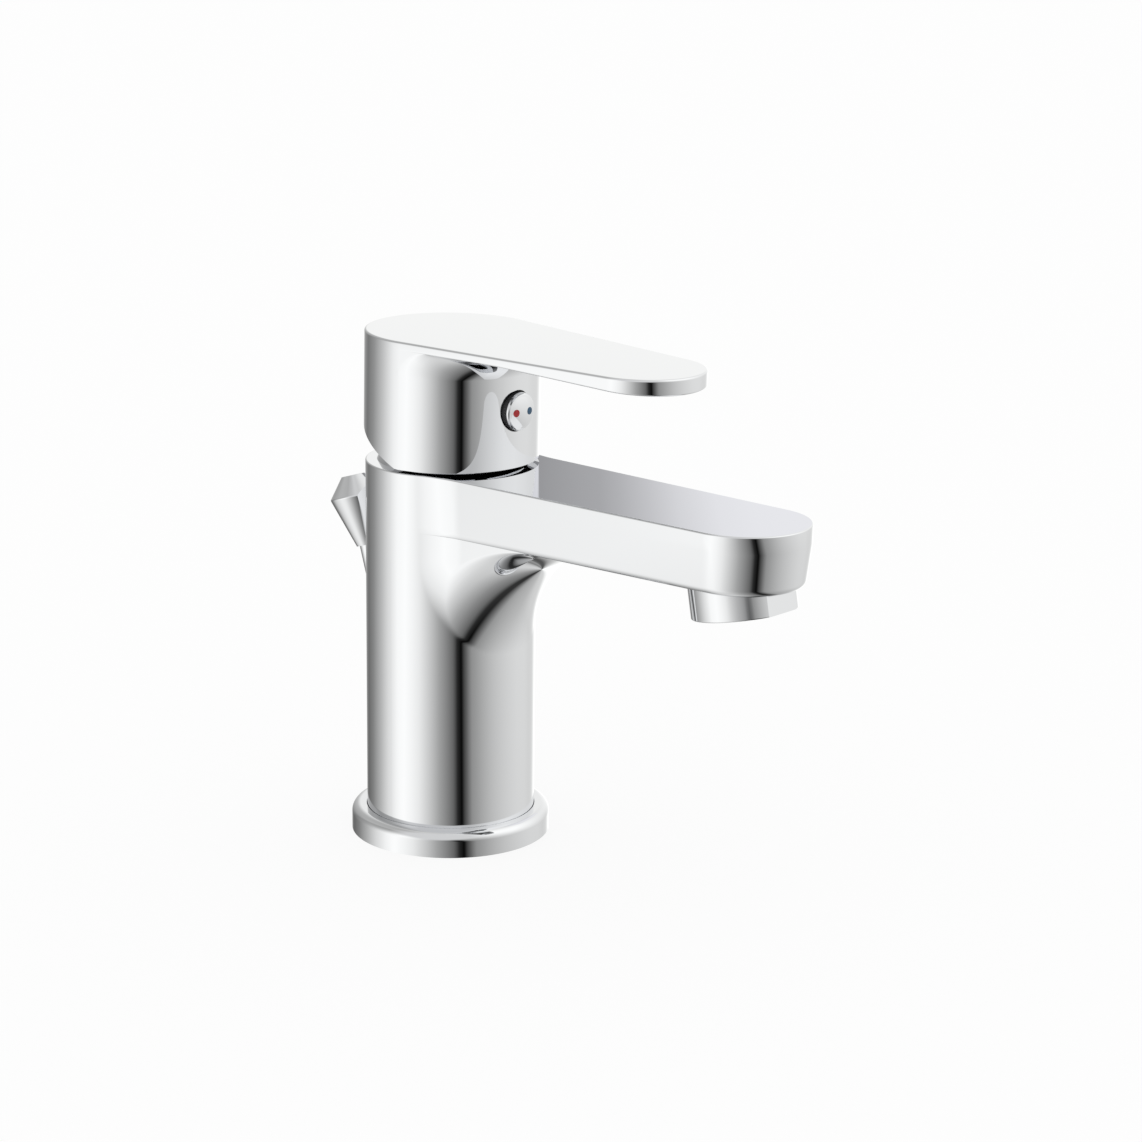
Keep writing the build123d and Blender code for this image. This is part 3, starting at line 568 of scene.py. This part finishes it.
wall = [share * LEVER_RUN / LEVER_REACH for share in even]
wall += [forward / LEVER_REACH for forward in shares(LEVER_RUN, LEVER_REACH, FLAT_STEPS)[1:]]
rings = []
for turn in quarter(SOFT_STEPS):
    outline = pear(HANDLE_R, under_tip_r + LEVER_SOFT * math.sin(turn), LEVER_REACH, wall)
    rings.append([(x, y, lever_under(y) + LEVER_SOFT * (1 - math.cos(turn))) for x, y in outline])
for turn in quarter(EDGE_STEPS):
    inset = LEVER_EDGE * (1 - math.cos(turn))
    outline = pear(HANDLE_R - inset, LEVER_R - inset, LEVER_REACH, wall)
    rings.append(lift(outline, HANDLE_TOP - LEVER_EDGE * (1 - math.sin(turn))))
strip(points, faces, rings)
cap(points, faces, rings[-1])
inner = [(x * CUP_R / HANDLE_R, y * CUP_R / HANDLE_R) for x, y in barrel]
strip(points, faces, [lift(barrel, handle_foot), lift(inner, handle_foot), lift(inner, CUP_TOP)])
cap(points, faces, lift(inner, CUP_TOP))
handle = skin("handle_skin", points, faces)
print("handle skin:", len(handle.data.polygons), "faces")

# %% [markdown]
# The button sits in a round recess in the barrel's front. The recess is drilled a little wider than the
# button, which leaves the dark line round it; the recess wall and the button's side later take a dark
# finish that paints shade into that line.

# %% Recess for the button
PLUG_Z = 121.0
PLUG_R = 5.1
PLUG_GAP = 0.45
RECESS = (21.6, 40.0)
drill(handle, PLUG_R + PLUG_GAP, *RECESS, shift(0, 0, PLUG_Z) @ tip_up(90))
handle.data.transform(tilt)
smooth(handle, degrees=30)
stand_for(handle, "lever", "handle")
print("handle with its recess:", len(handle.data.polygons), "faces")

# %% [markdown]
# ## Small chrome pieces
# The base ring has a wide round edge above. The trim cap is a thin dome round the handle's pivot, so the
# gap under the handle stays the same while it tips. A bevelled cylinder and a cut sphere would do for
# both, but a profile gives each edge its own radius.

# %% Base ring and trim cap
RING_BORE = 23.1
RING_R = 27.2
RING_TOP = 7.0
RING_ROUND = 2.4
RING_EDGE = 0.2
ring_profile = [(RING_BORE, 0.0), (RING_R, 0.0)]
ring_profile += rounded((RING_R, RING_TOP), (RING_R, 0.0), (RING_BORE, RING_TOP), RING_ROUND, steps=14)
ring_profile += rounded((RING_BORE, RING_TOP), (RING_R, RING_TOP), (RING_BORE, 0.0), RING_EDGE, steps=3)
base_ring = turned("base_ring_skin", ring_profile)
smooth(base_ring, degrees=40)
stand_for(base_ring, "body", "base_ring")

DOME_GAP = 1.2
DOME_WALL = 1.0
DOME_MOUTH_R = 14.0
DOME_STEPS = 24
dome_r = math.hypot(CUP_R, HANDLE_FOOT - PIVOT) - DOME_GAP
dome_low = math.asin((BODY_TOP - PIVOT) / dome_r)
dome_turns = shares(dome_low, math.acos(DOME_MOUTH_R / dome_r), DOME_STEPS)
dome_in = dome_r - DOME_WALL
dome_profile = [(dome_r * math.cos(t), PIVOT + dome_r * math.sin(t)) for t in dome_turns]
dome_profile += [(dome_in * math.cos(t), PIVOT + dome_in * math.sin(t)) for t in reversed(dome_turns)]
trim = turned("trim_cap_skin", dome_profile)
smooth(trim, degrees=30)
stand_for(trim, "body", "trim_cap")
print("trim cap radius:", round(dome_r, 2), "mm")

# %% [markdown]
# The button is a turned plug with a slightly domed face and a small round edge. A flattened sphere could
# give the dome, but the profile holds the dome and the edge in one line.

# %% Indicator button
PLUG_FACE = -25.95
PLUG_LONG = 6.0
PLUG_DOME = 0.6
PLUG_EDGE = 0.8
plug_profile = [(0, 0), (PLUG_R, 0)]
for turn in reversed(quarter(ROUND_STEPS)):
    inset = PLUG_EDGE * (1 - math.sin(turn))
    plug_profile.append((PLUG_R - inset, PLUG_LONG - PLUG_DOME - PLUG_EDGE * (1 - math.cos(turn))))
for share in shares(1, 0, FLAT_STEPS)[1:]:
    plug_profile.append(((PLUG_R - PLUG_EDGE) * share, PLUG_LONG - PLUG_DOME * share * share))
plug_place = tilt @ shift(0, PLUG_FACE + PLUG_LONG, PLUG_Z) @ tip_up(90)
plug = turned("indicator_plug_skin", plug_profile, plug_place, steps=96)
smooth(plug, degrees=40)
stand_for(plug, "lever", "indicator_plug")
print("button:", len(plug.data.polygons), "faces")

# %% [markdown]
# The aerator's sleeve screws into the spout's end. It is turned, and a spanner flat is milled on two
# sides. The flats could be drawn in the mesh, but a cube that is cut away is nearer to what the mill
# does.

# %% Aerator sleeve
SLEEVE_MOUTH_R = 9.5
SLEEVE_BORE_R = 10.5
SLEEVE_THREAD_R = 12.0
SLEEVE_SHOULDER = 11.0
SLEEVE_LONG = 17.0
SLEEVE_LIP = 1.0
SLEEVE_EDGE = 0.3
FLAT_OFF = 12.3
FLAT_HIGH = 5.0
MILL = (40.0, 7.7, 7.0)
sleeve_profile = [(SLEEVE_MOUTH_R, 0.0)]
shoulder = (AERATOR_R, SLEEVE_SHOULDER)
sleeve_profile += rounded((AERATOR_R, 0.0), (SLEEVE_MOUTH_R, 0.0), shoulder, SLEEVE_EDGE, steps=4)
sleeve_profile += [shoulder, (SLEEVE_THREAD_R, SLEEVE_SHOULDER), (SLEEVE_THREAD_R, SLEEVE_LONG)]
sleeve_profile += [(SLEEVE_BORE_R, SLEEVE_LONG), (SLEEVE_BORE_R, SLEEVE_LIP), (SLEEVE_MOUTH_R, SLEEVE_LIP)]
sleeve = turned("aerator_sleeve_skin", sleeve_profile, steps=160)
for side in (-1, 1):
    bpy.ops.object.select_all(action="DESELECT")
    bpy.ops.mesh.primitive_cube_add(size=1.0, calc_uvs=False)
    mill = bpy.context.object
    mill.data.transform(Matrix.Diagonal([c * MM for c in MILL]).to_4x4())
    mill.data.transform(shift(0, side * (FLAT_OFF + MILL[1] / 2), FLAT_HIGH - MILL[2] / 2))
    cut(sleeve, mill)
sleeve.data.transform(aerator_place)
smooth(sleeve, degrees=30)
stand_for(sleeve, "body", "aerator_sleeve")
print("aerator sleeve:", len(sleeve.data.polygons), "faces")

# %% [markdown]
# The lift rod leans back from the column, and its knob is a cone that is cut flat on the side of the
# column, so that it clears the handle. The flat is a bisect with a filled cut.

# %% Lift rod and knob
ROD_FOOT = -46.74
ROD_TOP = 37.3
ROD_EDGE = 0.3
rod_profile = [(0, ROD_FOOT), (ROD_R - ROD_EDGE, ROD_FOOT), (ROD_R, ROD_FOOT + ROD_EDGE)]
rod_profile += [(ROD_R, ROD_TOP), (0, ROD_TOP)]
rod = turned("lift_rod_skin", rod_profile, rod_place, steps=64)
smooth(rod, degrees=40)
stand_for(rod, "lift", "lift_rod")

KNOB_FOOT_R = 3.3
KNOB_R = 7.7
KNOB_WIDE = 14.0
KNOB_TOP = 19.7
KNOB_ROUND = 0.6
KNOB_EDGE = 0.25
KNOB_ON_ROD = 29.3
KNOB_FLAT = -3.0
KNOB_FLAT_LEAN = 10.3
knob_profile = [(0, 0), (KNOB_FOOT_R, 0)]
widest, rim = (KNOB_R, KNOB_WIDE), (KNOB_FOOT_R, KNOB_TOP)
knob_profile += rounded(widest, (KNOB_FOOT_R, 0), rim, KNOB_ROUND, steps=5)
knob_profile += rounded(rim, widest, (0, KNOB_TOP), KNOB_EDGE, steps=3)
knob_profile += [(0, KNOB_TOP)]
knob = turned("lift_knob_skin", knob_profile, steps=128)
pick(knob)
bpy.ops.object.mode_set(mode="EDIT")
bpy.ops.mesh.select_all(action="SELECT")
flat_way = Vector((0, 1, math.tan(math.radians(KNOB_FLAT_LEAN)))).normalized()
flat_at = (0, KNOB_FLAT * MM, 0)
bpy.ops.mesh.bisect(plane_co=flat_at, plane_no=flat_way, use_fill=True, clear_inner=True, threshold=0.0)
bpy.ops.mesh.select_all(action="SELECT")
bpy.ops.mesh.normals_make_consistent(inside=False)
bpy.ops.object.mode_set(mode="OBJECT")
knob.data.transform(rod_place @ shift(0, 0, KNOB_ON_ROD))
smooth(knob, degrees=25)
stand_for(knob, "lift", "lift_knob")
print("rod and knob:", len(rod.data.polygons) + len(knob.data.polygons), "faces")

# %% [markdown]
# ## Materials
# Each material is a Principled surface. A fine noise of a real size in millimetres varies its roughness,
# because no made surface is quite even, and on the duller ones it also lifts the surface a little. One
# even value would be simpler, but it makes metal look like plastic.

# %% Make a material
RELIEF = 0.3


def linear(code):
    """sRGB hex code to a linear colour."""
    parts = [int(code[i : i + 2], 16) / 255 for i in (1, 3, 5)]
    return [c / 12.92 if c <= 0.04045 else ((c + 0.055) / 1.055) ** 2.4 for c in parts] + [1.0]


def add(tree, kind, links=None, settings=None, **values):
    """Add a node with its links by socket, its settings, and its socket values by name."""
    node = tree.nodes.new(kind)
    for name, value in (settings or {}).items():
        setattr(node, name, value)
    for name, value in values.items():
        node.inputs[name.replace("_", " ")].default_value = value
    for socket, source in (links or {}).items():
        tree.links.new(source, node.inputs[socket])
    return node


def material(name, code, metallic, rough, spread, grain_mm, bump_mm=0.0, ior=1.5):
    """Surface whose roughness varies with a noise of a real size."""
    made = bpy.data.materials.new(name)
    made.use_nodes = True
    tree = made.node_tree
    shader = tree.nodes["Principled BSDF"]
    shader.inputs["Base Color"].default_value = linear(code)
    shader.inputs["Metallic"].default_value = metallic
    shader.inputs["IOR"].default_value = ior
    place = add(tree, "ShaderNodeTexCoord")
    vector = {"Vector": place.outputs["Object"]}
    noise = add(tree, "ShaderNodeTexNoise", vector, Scale=1.0 / (grain_mm * MM), Detail=4.0)
    grain = noise.outputs["Fac"]
    least = max(rough - spread, 0.0)
    haze = add(tree, "ShaderNodeMapRange", {"Value": grain}, To_Min=least, To_Max=rough + spread)
    tree.links.new(haze.outputs["Result"], shader.inputs["Roughness"])
    if bump_mm > 0:
        relief = add(tree, "ShaderNodeBump", {"Height": grain}, Strength=RELIEF, Distance=bump_mm * MM)
        tree.links.new(relief.outputs["Normal"], shader.inputs["Normal"])
    return made


print("materials can be made")

# %% [markdown]
# A name says what the surface is and how it was made, and the comment above it says what that gives the
# eye. Only the chrome fills the picture. Most of the others show when the lever is lifted, or from
# below.

# %% Finishes
# Chrome plate on polished brass: a clear mirror with a trace of haze from wiping and water.
chrome = material("polished_chrome", "#E6E7E9", 1.0, 0.02, 0.012, 14.0)
# Chrome on moulded plastic: a little darker and softer than plate on metal.
trim_chrome = material("chromed_plastic", "#DCDDE0", 1.0, 0.06, 0.03, 9.0)
# Inside of a casting, which takes no plate: dull, and its dark colour is partly painted shade, so the gap
# under the handle and the line round the button read black.
unplated_painted_shade = material("unplated_casting_painted_shade", "#2E2E30", 0.0, 0.6, 0.1, 0.8, 0.02)
# Brass from the lathe: warm yellow metal with a soft sheen of tool marks.
brass = material("machined_brass", "#D8B66A", 1.0, 0.28, 0.08, 0.8, 0.01)
# Steel from the lathe: grey metal with the same soft sheen.
steel = material("machined_steel", "#B9BBBE", 1.0, 0.3, 0.08, 0.6, 0.01)
# White acetal from a mould: half matt, with the mould's fine grain.
acetal = material("moulded_plastic", "#E4E3DE", 0.0, 0.45, 0.1, 0.7, 0.01)
# Lapped alumina: off-white, hard and almost as shiny as glass, with a high IOR.
ceramic = material("lapped_ceramic", "#EDEBE4", 0.0, 0.12, 0.05, 0.5, 0.0, 1.76)
# Red plastic of the limit ring: half matt.
red_plastic = material("red_plastic", "#B3221E", 0.0, 0.4, 0.1, 0.7, 0.01)
# Grey plastic of the aerator's honeycomb: half matt.
grey_plastic = material("grey_plastic", "#8E9093", 0.0, 0.45, 0.1, 0.6, 0.01)
# Moulded rubber of the seals: black and matt.
rubber = material("black_rubber", "#1B1B1C", 0.0, 0.65, 0.1, 0.5, 0.02)
# Gloss enamel of the two dots: strong colour under a clear shine.
red_enamel = material("red_enamel", "#B4121C", 0.0, 0.18, 0.06, 0.6)
blue_enamel = material("blue_enamel", "#0F4F72", 0.0, 0.18, 0.06, 0.6)
finishes = {
    "chrome": chrome,
    "trim_chrome": trim_chrome,
    "brass": brass,
    "steel": steel,
    "cartridge_plastic": acetal,
    "ceramic": ceramic,
    "limit_plastic": red_plastic,
    "aerator_plastic": grey_plastic,
    "rubber": rubber,
    "hot_red": red_enamel,
    "cold_blue": blue_enamel,
}
print("finishes:", ", ".join(sorted(made.name for made in finishes.values())))

# %% [markdown]
# The solids that stay in view take the finish of their slot, and so do the new pieces. On the handle the
# faces of the cup and the recess are left unplated, and so is the button's side; their dark finish is
# partly painted shade in the gap under the handle and round the button.

# %% Give out the finishes
CUP_SLACK = 0.1
RECESS_SLACK = 0.02
PLUG_SLACK = 0.05
WALL_TURN = 0.5
for entry in frame["record"]["subparts"]:
    data = frame["nodes"][entry["node"]].data
    data.materials.clear()
    data.materials.append(finishes[entry["material_slot"]])
for piece in (body, boss, handle, base_ring, plug, sleeve, rod, knob):
    piece.data.materials.append(chrome)
trim.data.materials.append(trim_chrome)
# Second slot of the handle and the button: the dark unplated finish, partly painted shade.
handle.data.materials.append(unplated_painted_shade)
plug.data.materials.append(unplated_painted_shade)
upright = tilt.inverted()
# Painted shade: the cup and the recess wall take the dark second slot.
for side in handle.data.polygons:
    spot = upright @ side.center / MM
    in_cup = math.hypot(spot.x, spot.y) < CUP_R + CUP_SLACK and spot.z < CUP_TOP + CUP_SLACK
    off_plug = math.hypot(spot.x, spot.z - PLUG_Z)
    near_plug = off_plug < PLUG_R + PLUG_GAP + RECESS_SLACK and spot.y < 0
    if in_cup or near_plug and abs(side.normal.y) < WALL_TURN:
        side.material_index = 1
# Painted shade: the button's side takes the dark second slot too.
for side in plug.data.polygons:
    spot = upright @ side.center / MM
    off_axis = math.hypot(spot.x, spot.z - PLUG_Z)
    if off_axis > PLUG_R - PLUG_SLACK and spot.y > PLUG_FACE + PLUG_DOME + PLUG_EDGE:
        side.material_index = 1
dark = sum(side.material_index for side in handle.data.polygons)
print("unplated faces of the handle:", dark)

# %% [markdown]
# ## Camera
# The camera was fitted to the photograph's edges: where the column, the ring, the spout and the lever
# end. It could be placed by eye, but then the reflections would fall in other places than there.

# %% Camera
AZIMUTH, ELEVATION, DISTANCE, ROLL = -48.423, 14.860, 823.106, 0.655
ASIDE, AIM_Z, FOCAL_PX = 32.583, 73.056, 3033.207
PICTURE_PX = 1142
SENSOR = 36.0
az, el, roll = (math.radians(v) for v in (AZIMUTH, ELEVATION, ROLL))
back = Vector((math.sin(az) * math.cos(el), -math.cos(az) * math.cos(el), math.sin(el)))
right = Vector((math.cos(az), math.sin(az), 0))
up = back.cross(right)
aim = Vector((0, 0, AIM_Z)) + right * ASIDE
turned_right = right * math.cos(roll) + up * math.sin(roll)
turned_up = up * math.cos(roll) - right * math.sin(roll)
rotation = Matrix((turned_right, turned_up, back)).transposed()
lens = bpy.data.cameras.new("camera")
lens.sensor_width = SENSOR
lens.sensor_fit = "HORIZONTAL"
lens.lens = FOCAL_PX / PICTURE_PX * SENSOR
camera = bpy.data.objects.new("camera", lens)
camera.matrix_world = Matrix.Translation((aim + back * DISTANCE) * MM) @ rotation.to_4x4()
bpy.context.scene.collection.objects.link(camera)
bpy.context.scene.camera = camera
print("camera lens:", round(lens.lens, 2), "mm")

# %% [markdown]
# ## Studio
# The room is white and lights the mixer evenly, and the floor is nearly white and keeps a faint shadow.
# Chrome shows what stands round it, so a tent of soft panels hangs far out. Only mirrors see the tent.
# Lamps could light the mixer too, but chrome would show them as bright spots.

# %% Floor and room
FLOOR_SIZE = 16.0
FLOOR_GLOW = 0.85


def paint_tree(name):
    """New material with an empty node tree."""
    made = bpy.data.materials.new(name)
    made.use_nodes = True
    made.node_tree.nodes.clear()
    return made, made.node_tree


def staged(name, paint):
    """Name and paint the mesh that was just added, which is no part of the mixer."""
    thing = bpy.context.object
    thing.name = thing.data.name = name
    thing.data.materials.append(paint)
    return thing


floor_paint, tree = paint_tree("white_floor")
matte = add(tree, "ShaderNodeBsdfDiffuse", Color=linear("#F4F4F4"))
glow = add(tree, "ShaderNodeEmission", Color=linear("#FFFFFF"), Strength=1.0)
seen = add(tree, "ShaderNodeLightPath")
part = add(tree, "ShaderNodeMapRange", {"Value": seen.outputs["Is Camera Ray"]}, To_Max=FLOOR_GLOW)
layers = {"Fac": part.outputs["Result"], 1: matte.outputs["BSDF"], 2: glow.outputs["Emission"]}
both = add(tree, "ShaderNodeMixShader", layers)
add(tree, "ShaderNodeOutputMaterial", {"Surface": both.outputs["Shader"]})
bpy.ops.object.select_all(action="DESELECT")
bpy.ops.mesh.primitive_plane_add(size=FLOOR_SIZE, calc_uvs=False)
floor = staged("floor", floor_paint)
floor.visible_glossy = False

world = bpy.data.worlds.new("white_room")
bpy.context.scene.world = world
world.use_nodes = True
world.node_tree.nodes["Background"].inputs["Color"].default_value = linear("#FFFFFF")
world.node_tree.nodes["Background"].inputs["Strength"].default_value = 1.0
bpy.context.scene.view_settings.view_transform = "Standard"
print("floor and white room made")

# %% [markdown]
# The panels hang round a leaning axis, about half way between straight up and towards the camera. Each
# row gives the turn about that axis in degrees, then the brightness of the upper and of the lower end of
# the panel there. A grey roof closes the tent at the top of the axis.

# %% Panels of the tent
PANELS = [
    (-180, 0.57, 1.00), (-165, 0.40, 0.55), (-150, 0.41, 0.32), (-140, 0.44, 0.16), (-130, 0.32, 0.08),
    (-115, 0.41, 0.08), (-100, 0.63, 0.14), (-90, 0.80, 0.28), (-80, 0.94, 0.25), (-70, 0.98, 0.19),
    (-60, 0.91, 0.37), (-50, 0.81, 0.52), (-40, 0.65, 0.60), (-30, 0.50, 0.61), (-20, 0.35, 0.46),
    (-10, 0.24, 0.27), (0, 0.13, 0.16), (6, 0.02, 0.03), (12, 0.00, 0.03), (18, 0.11, 0.18),
    (24, 0.27, 0.34), (30, 0.33, 0.39), (40, 0.44, 0.43), (50, 0.56, 0.46), (62, 0.69, 0.52),
    (75, 0.83, 0.57), (90, 0.95, 0.60), (105, 0.99, 0.60), (125, 0.95, 0.64), (145, 0.77, 0.84),
    (165, 0.55, 1.00), (180, 0.57, 1.00),
]
UPPER, LOWER = 10.0, -60.0
ROOF_START, ROOF_FULL, ROOF_GREY = 38.0, 58.0, 0.62
AXIS = (0.718, -0.192, 0.669)
MIRROR_LOSS = 1.25
PANEL_BLUE = 0.985
axis = Vector(AXIS).normalized()
across = axis.cross(Vector((1, 0, 0))).normalized()
along = across.cross(axis)
camera_turn = math.atan2(back.y, back.x)
lean = Matrix((along, across, axis)).to_4x4() @ Matrix.Rotation(-camera_turn, 4, "Z")


def set_greys(elements, stops, blue):
    """Give a ramp a list of (position, brightness), and say how blue its greys are."""
    for position, bright in stops[1:-1]:
        elements.new(position)
    for element, (position, bright) in zip(elements, stops):
        element.position = position
        element.color = (bright, bright, bright * blue, 1)


def mirrors_only(thing):
    """Hide a staged object from everything but mirrors."""
    thing.visible_camera = False
    thing.visible_diffuse = False
    thing.visible_shadow = False
    thing.visible_transmission = False
    thing.visible_volume_scatter = False


print("panels:", len(PANELS))

# %% [markdown]
# The tent is one large sphere that glows. The turn about the axis picks a place on two ramps, and the
# height over the axis mixes the upper ramp with the lower one. Separate cards would need many soft
# edges, and here the ramps give them.

# %% Tent
# A colour mix has its two colours at sockets 6 and 7 and its result at output 2.
MIX_A, MIX_B, MIX_OUT = 6, 7, 2
TENT_R = 14.0
tent_paint, tree = paint_tree("tent_panels")
tent_paint.cycles.emission_sampling = "NONE"
place = add(tree, "ShaderNodeTexCoord")
unit = add(tree, "ShaderNodeVectorMath", {0: place.outputs["Object"]}, {"operation": "NORMALIZE"})
leaning = add(tree, "ShaderNodeMapping", {"Vector": unit.outputs["Vector"]}, Rotation=lean.to_euler())
parts = add(tree, "ShaderNodeSeparateXYZ", {"Vector": leaning.outputs["Vector"]})
turn = add(tree, "ShaderNodeMath", {0: parts.outputs["Y"], 1: parts.outputs["X"]}, {"operation": "ARCTAN2"})
height = add(tree, "ShaderNodeMath", {0: parts.outputs["Z"]}, {"operation": "ARCSINE"})
turn_value, height_value = {"Value": turn.outputs["Value"]}, {"Value": height.outputs["Value"]}
round_axis = add(tree, "ShaderNodeMapRange", turn_value, From_Min=-math.pi, From_Max=math.pi)
high, low = math.radians(UPPER), math.radians(LOWER)
down = add(tree, "ShaderNodeMapRange", height_value, From_Min=high, From_Max=low)
grey_from, grey_to = math.radians(ROOF_START), math.radians(ROOF_FULL)
roof = add(tree, "ShaderNodeMapRange", height_value, From_Min=grey_from, From_Max=grey_to)
mixed = add(tree, "ShaderNodeMix", {"Factor": down.outputs["Result"]}, {"data_type": "RGBA"})
for column, socket in ((1, MIX_A), (2, MIX_B)):
    panel = add(tree, "ShaderNodeValToRGB", {"Fac": round_axis.outputs["Result"]})
    stops = [((row[0] + 180) / 360, row[column]) for row in PANELS]
    set_greys(panel.color_ramp.elements, stops, PANEL_BLUE)
    tree.links.new(panel.outputs["Color"], mixed.inputs[socket])
ends = {"Factor": roof.outputs["Result"], MIX_A: mixed.outputs[MIX_OUT]}
closed = add(tree, "ShaderNodeMix", ends, {"data_type": "RGBA"})
closed.inputs[MIX_B].default_value = (ROOF_GREY, ROOF_GREY, ROOF_GREY, 1)
light = add(tree, "ShaderNodeEmission", {"Color": closed.outputs[MIX_OUT]}, Strength=MIRROR_LOSS)
add(tree, "ShaderNodeOutputMaterial", {"Surface": light.outputs["Emission"]})
bpy.ops.object.select_all(action="DESELECT")
bpy.ops.mesh.primitive_ico_sphere_add(subdivisions=4, radius=TENT_R, calc_uvs=False)
tent = staged("tent", tent_paint)
mirrors_only(tent)
print("tent:", len(tent.data.polygons), "faces")

# %% [markdown]
# The top of the spout darkens towards the barrel in the photograph. A small grey card that lies level
# behind the mixer, just above the lever, does that: only the spout's top mirrors it. It fades out at its
# edges.

# %% Grey card
CARD = [
    (11, 0.24), (25, 0.305), (35.3, 0.342), (41.5, 0.36), (47.3, 0.41),
    (56.2, 0.505), (65.6, 0.615), (78, 0.715), (89.3, 0.745), (98.5, 0.75),
]
CARD_BLUE = 1.03
CARD_Z = 146.0
CARD_LEFT, CARD_RIGHT = -12.0, 132.0
CARD_NEAR, CARD_FAR = 58.0, 235.0
CARD_FADE = 14.0
away = Vector((-back.x, -back.y, 0)).normalized()
card_paint, tree = paint_tree("grey_card")
card_paint.cycles.emission_sampling = "NONE"
place = add(tree, "ShaderNodeTexCoord")
spots = []
for direction in (right, away):
    spot = add(tree, "ShaderNodeVectorMath", {0: place.outputs["Object"]}, {"operation": "DOT_PRODUCT"})
    spot.inputs[1].default_value = direction
    spots.append({"Value": spot.outputs["Value"]})
first, last = CARD[0][0], CARD[-1][0]
span = add(tree, "ShaderNodeMapRange", spots[0], From_Min=first * MM, From_Max=last * MM)
grey = add(tree, "ShaderNodeValToRGB", {"Fac": span.outputs["Result"]})
stops = [((u - first) / (last - first), bright) for u, bright in CARD]
set_greys(grey.color_ramp.elements, stops, CARD_BLUE)
shown = None
soft = {"interpolation_type": "SMOOTHSTEP"}
for source, gone, full in (
    (spots[0], CARD_LEFT, CARD_LEFT + CARD_FADE),
    (spots[0], CARD_RIGHT, CARD_RIGHT - CARD_FADE),
    (spots[1], CARD_NEAR, CARD_NEAR + CARD_FADE),
    (spots[1], CARD_FAR, CARD_FAR - CARD_FADE),
):
    fade = add(tree, "ShaderNodeMapRange", source, soft, From_Min=gone * MM, From_Max=full * MM)
    faded = fade.outputs["Result"]
    if shown is not None:
        product = add(tree, "ShaderNodeMath", {0: shown, 1: faded}, {"operation": "MULTIPLY"})
        faded = product.outputs["Value"]
    shown = faded
glow = add(tree, "ShaderNodeEmission", {"Color": grey.outputs["Color"]}, Strength=MIRROR_LOSS)
clear = add(tree, "ShaderNodeBsdfTransparent")
layers = {"Fac": shown, 1: clear.outputs["BSDF"], 2: glow.outputs["Emission"]}
both = add(tree, "ShaderNodeMixShader", layers)
add(tree, "ShaderNodeOutputMaterial", {"Surface": both.outputs["Shader"]})
wide, deep = CARD_RIGHT - CARD_LEFT, CARD_FAR - CARD_NEAR
middle = right * (CARD_LEFT + wide / 2) + away * (CARD_NEAR + deep / 2) + Vector((0, 0, CARD_Z))
sheet = Matrix((right * wide, away * deep, Vector((0, 0, 1)))).transposed()
bpy.ops.object.select_all(action="DESELECT")
bpy.ops.mesh.primitive_plane_add(size=1.0, calc_uvs=False)
card = staged("flag_card", card_paint)
card.data.transform(Matrix.Translation(middle * MM) @ (sheet * MM).to_4x4())
mirrors_only(card)
print("grey card:", round(wide), "by", round(deep), "mm")
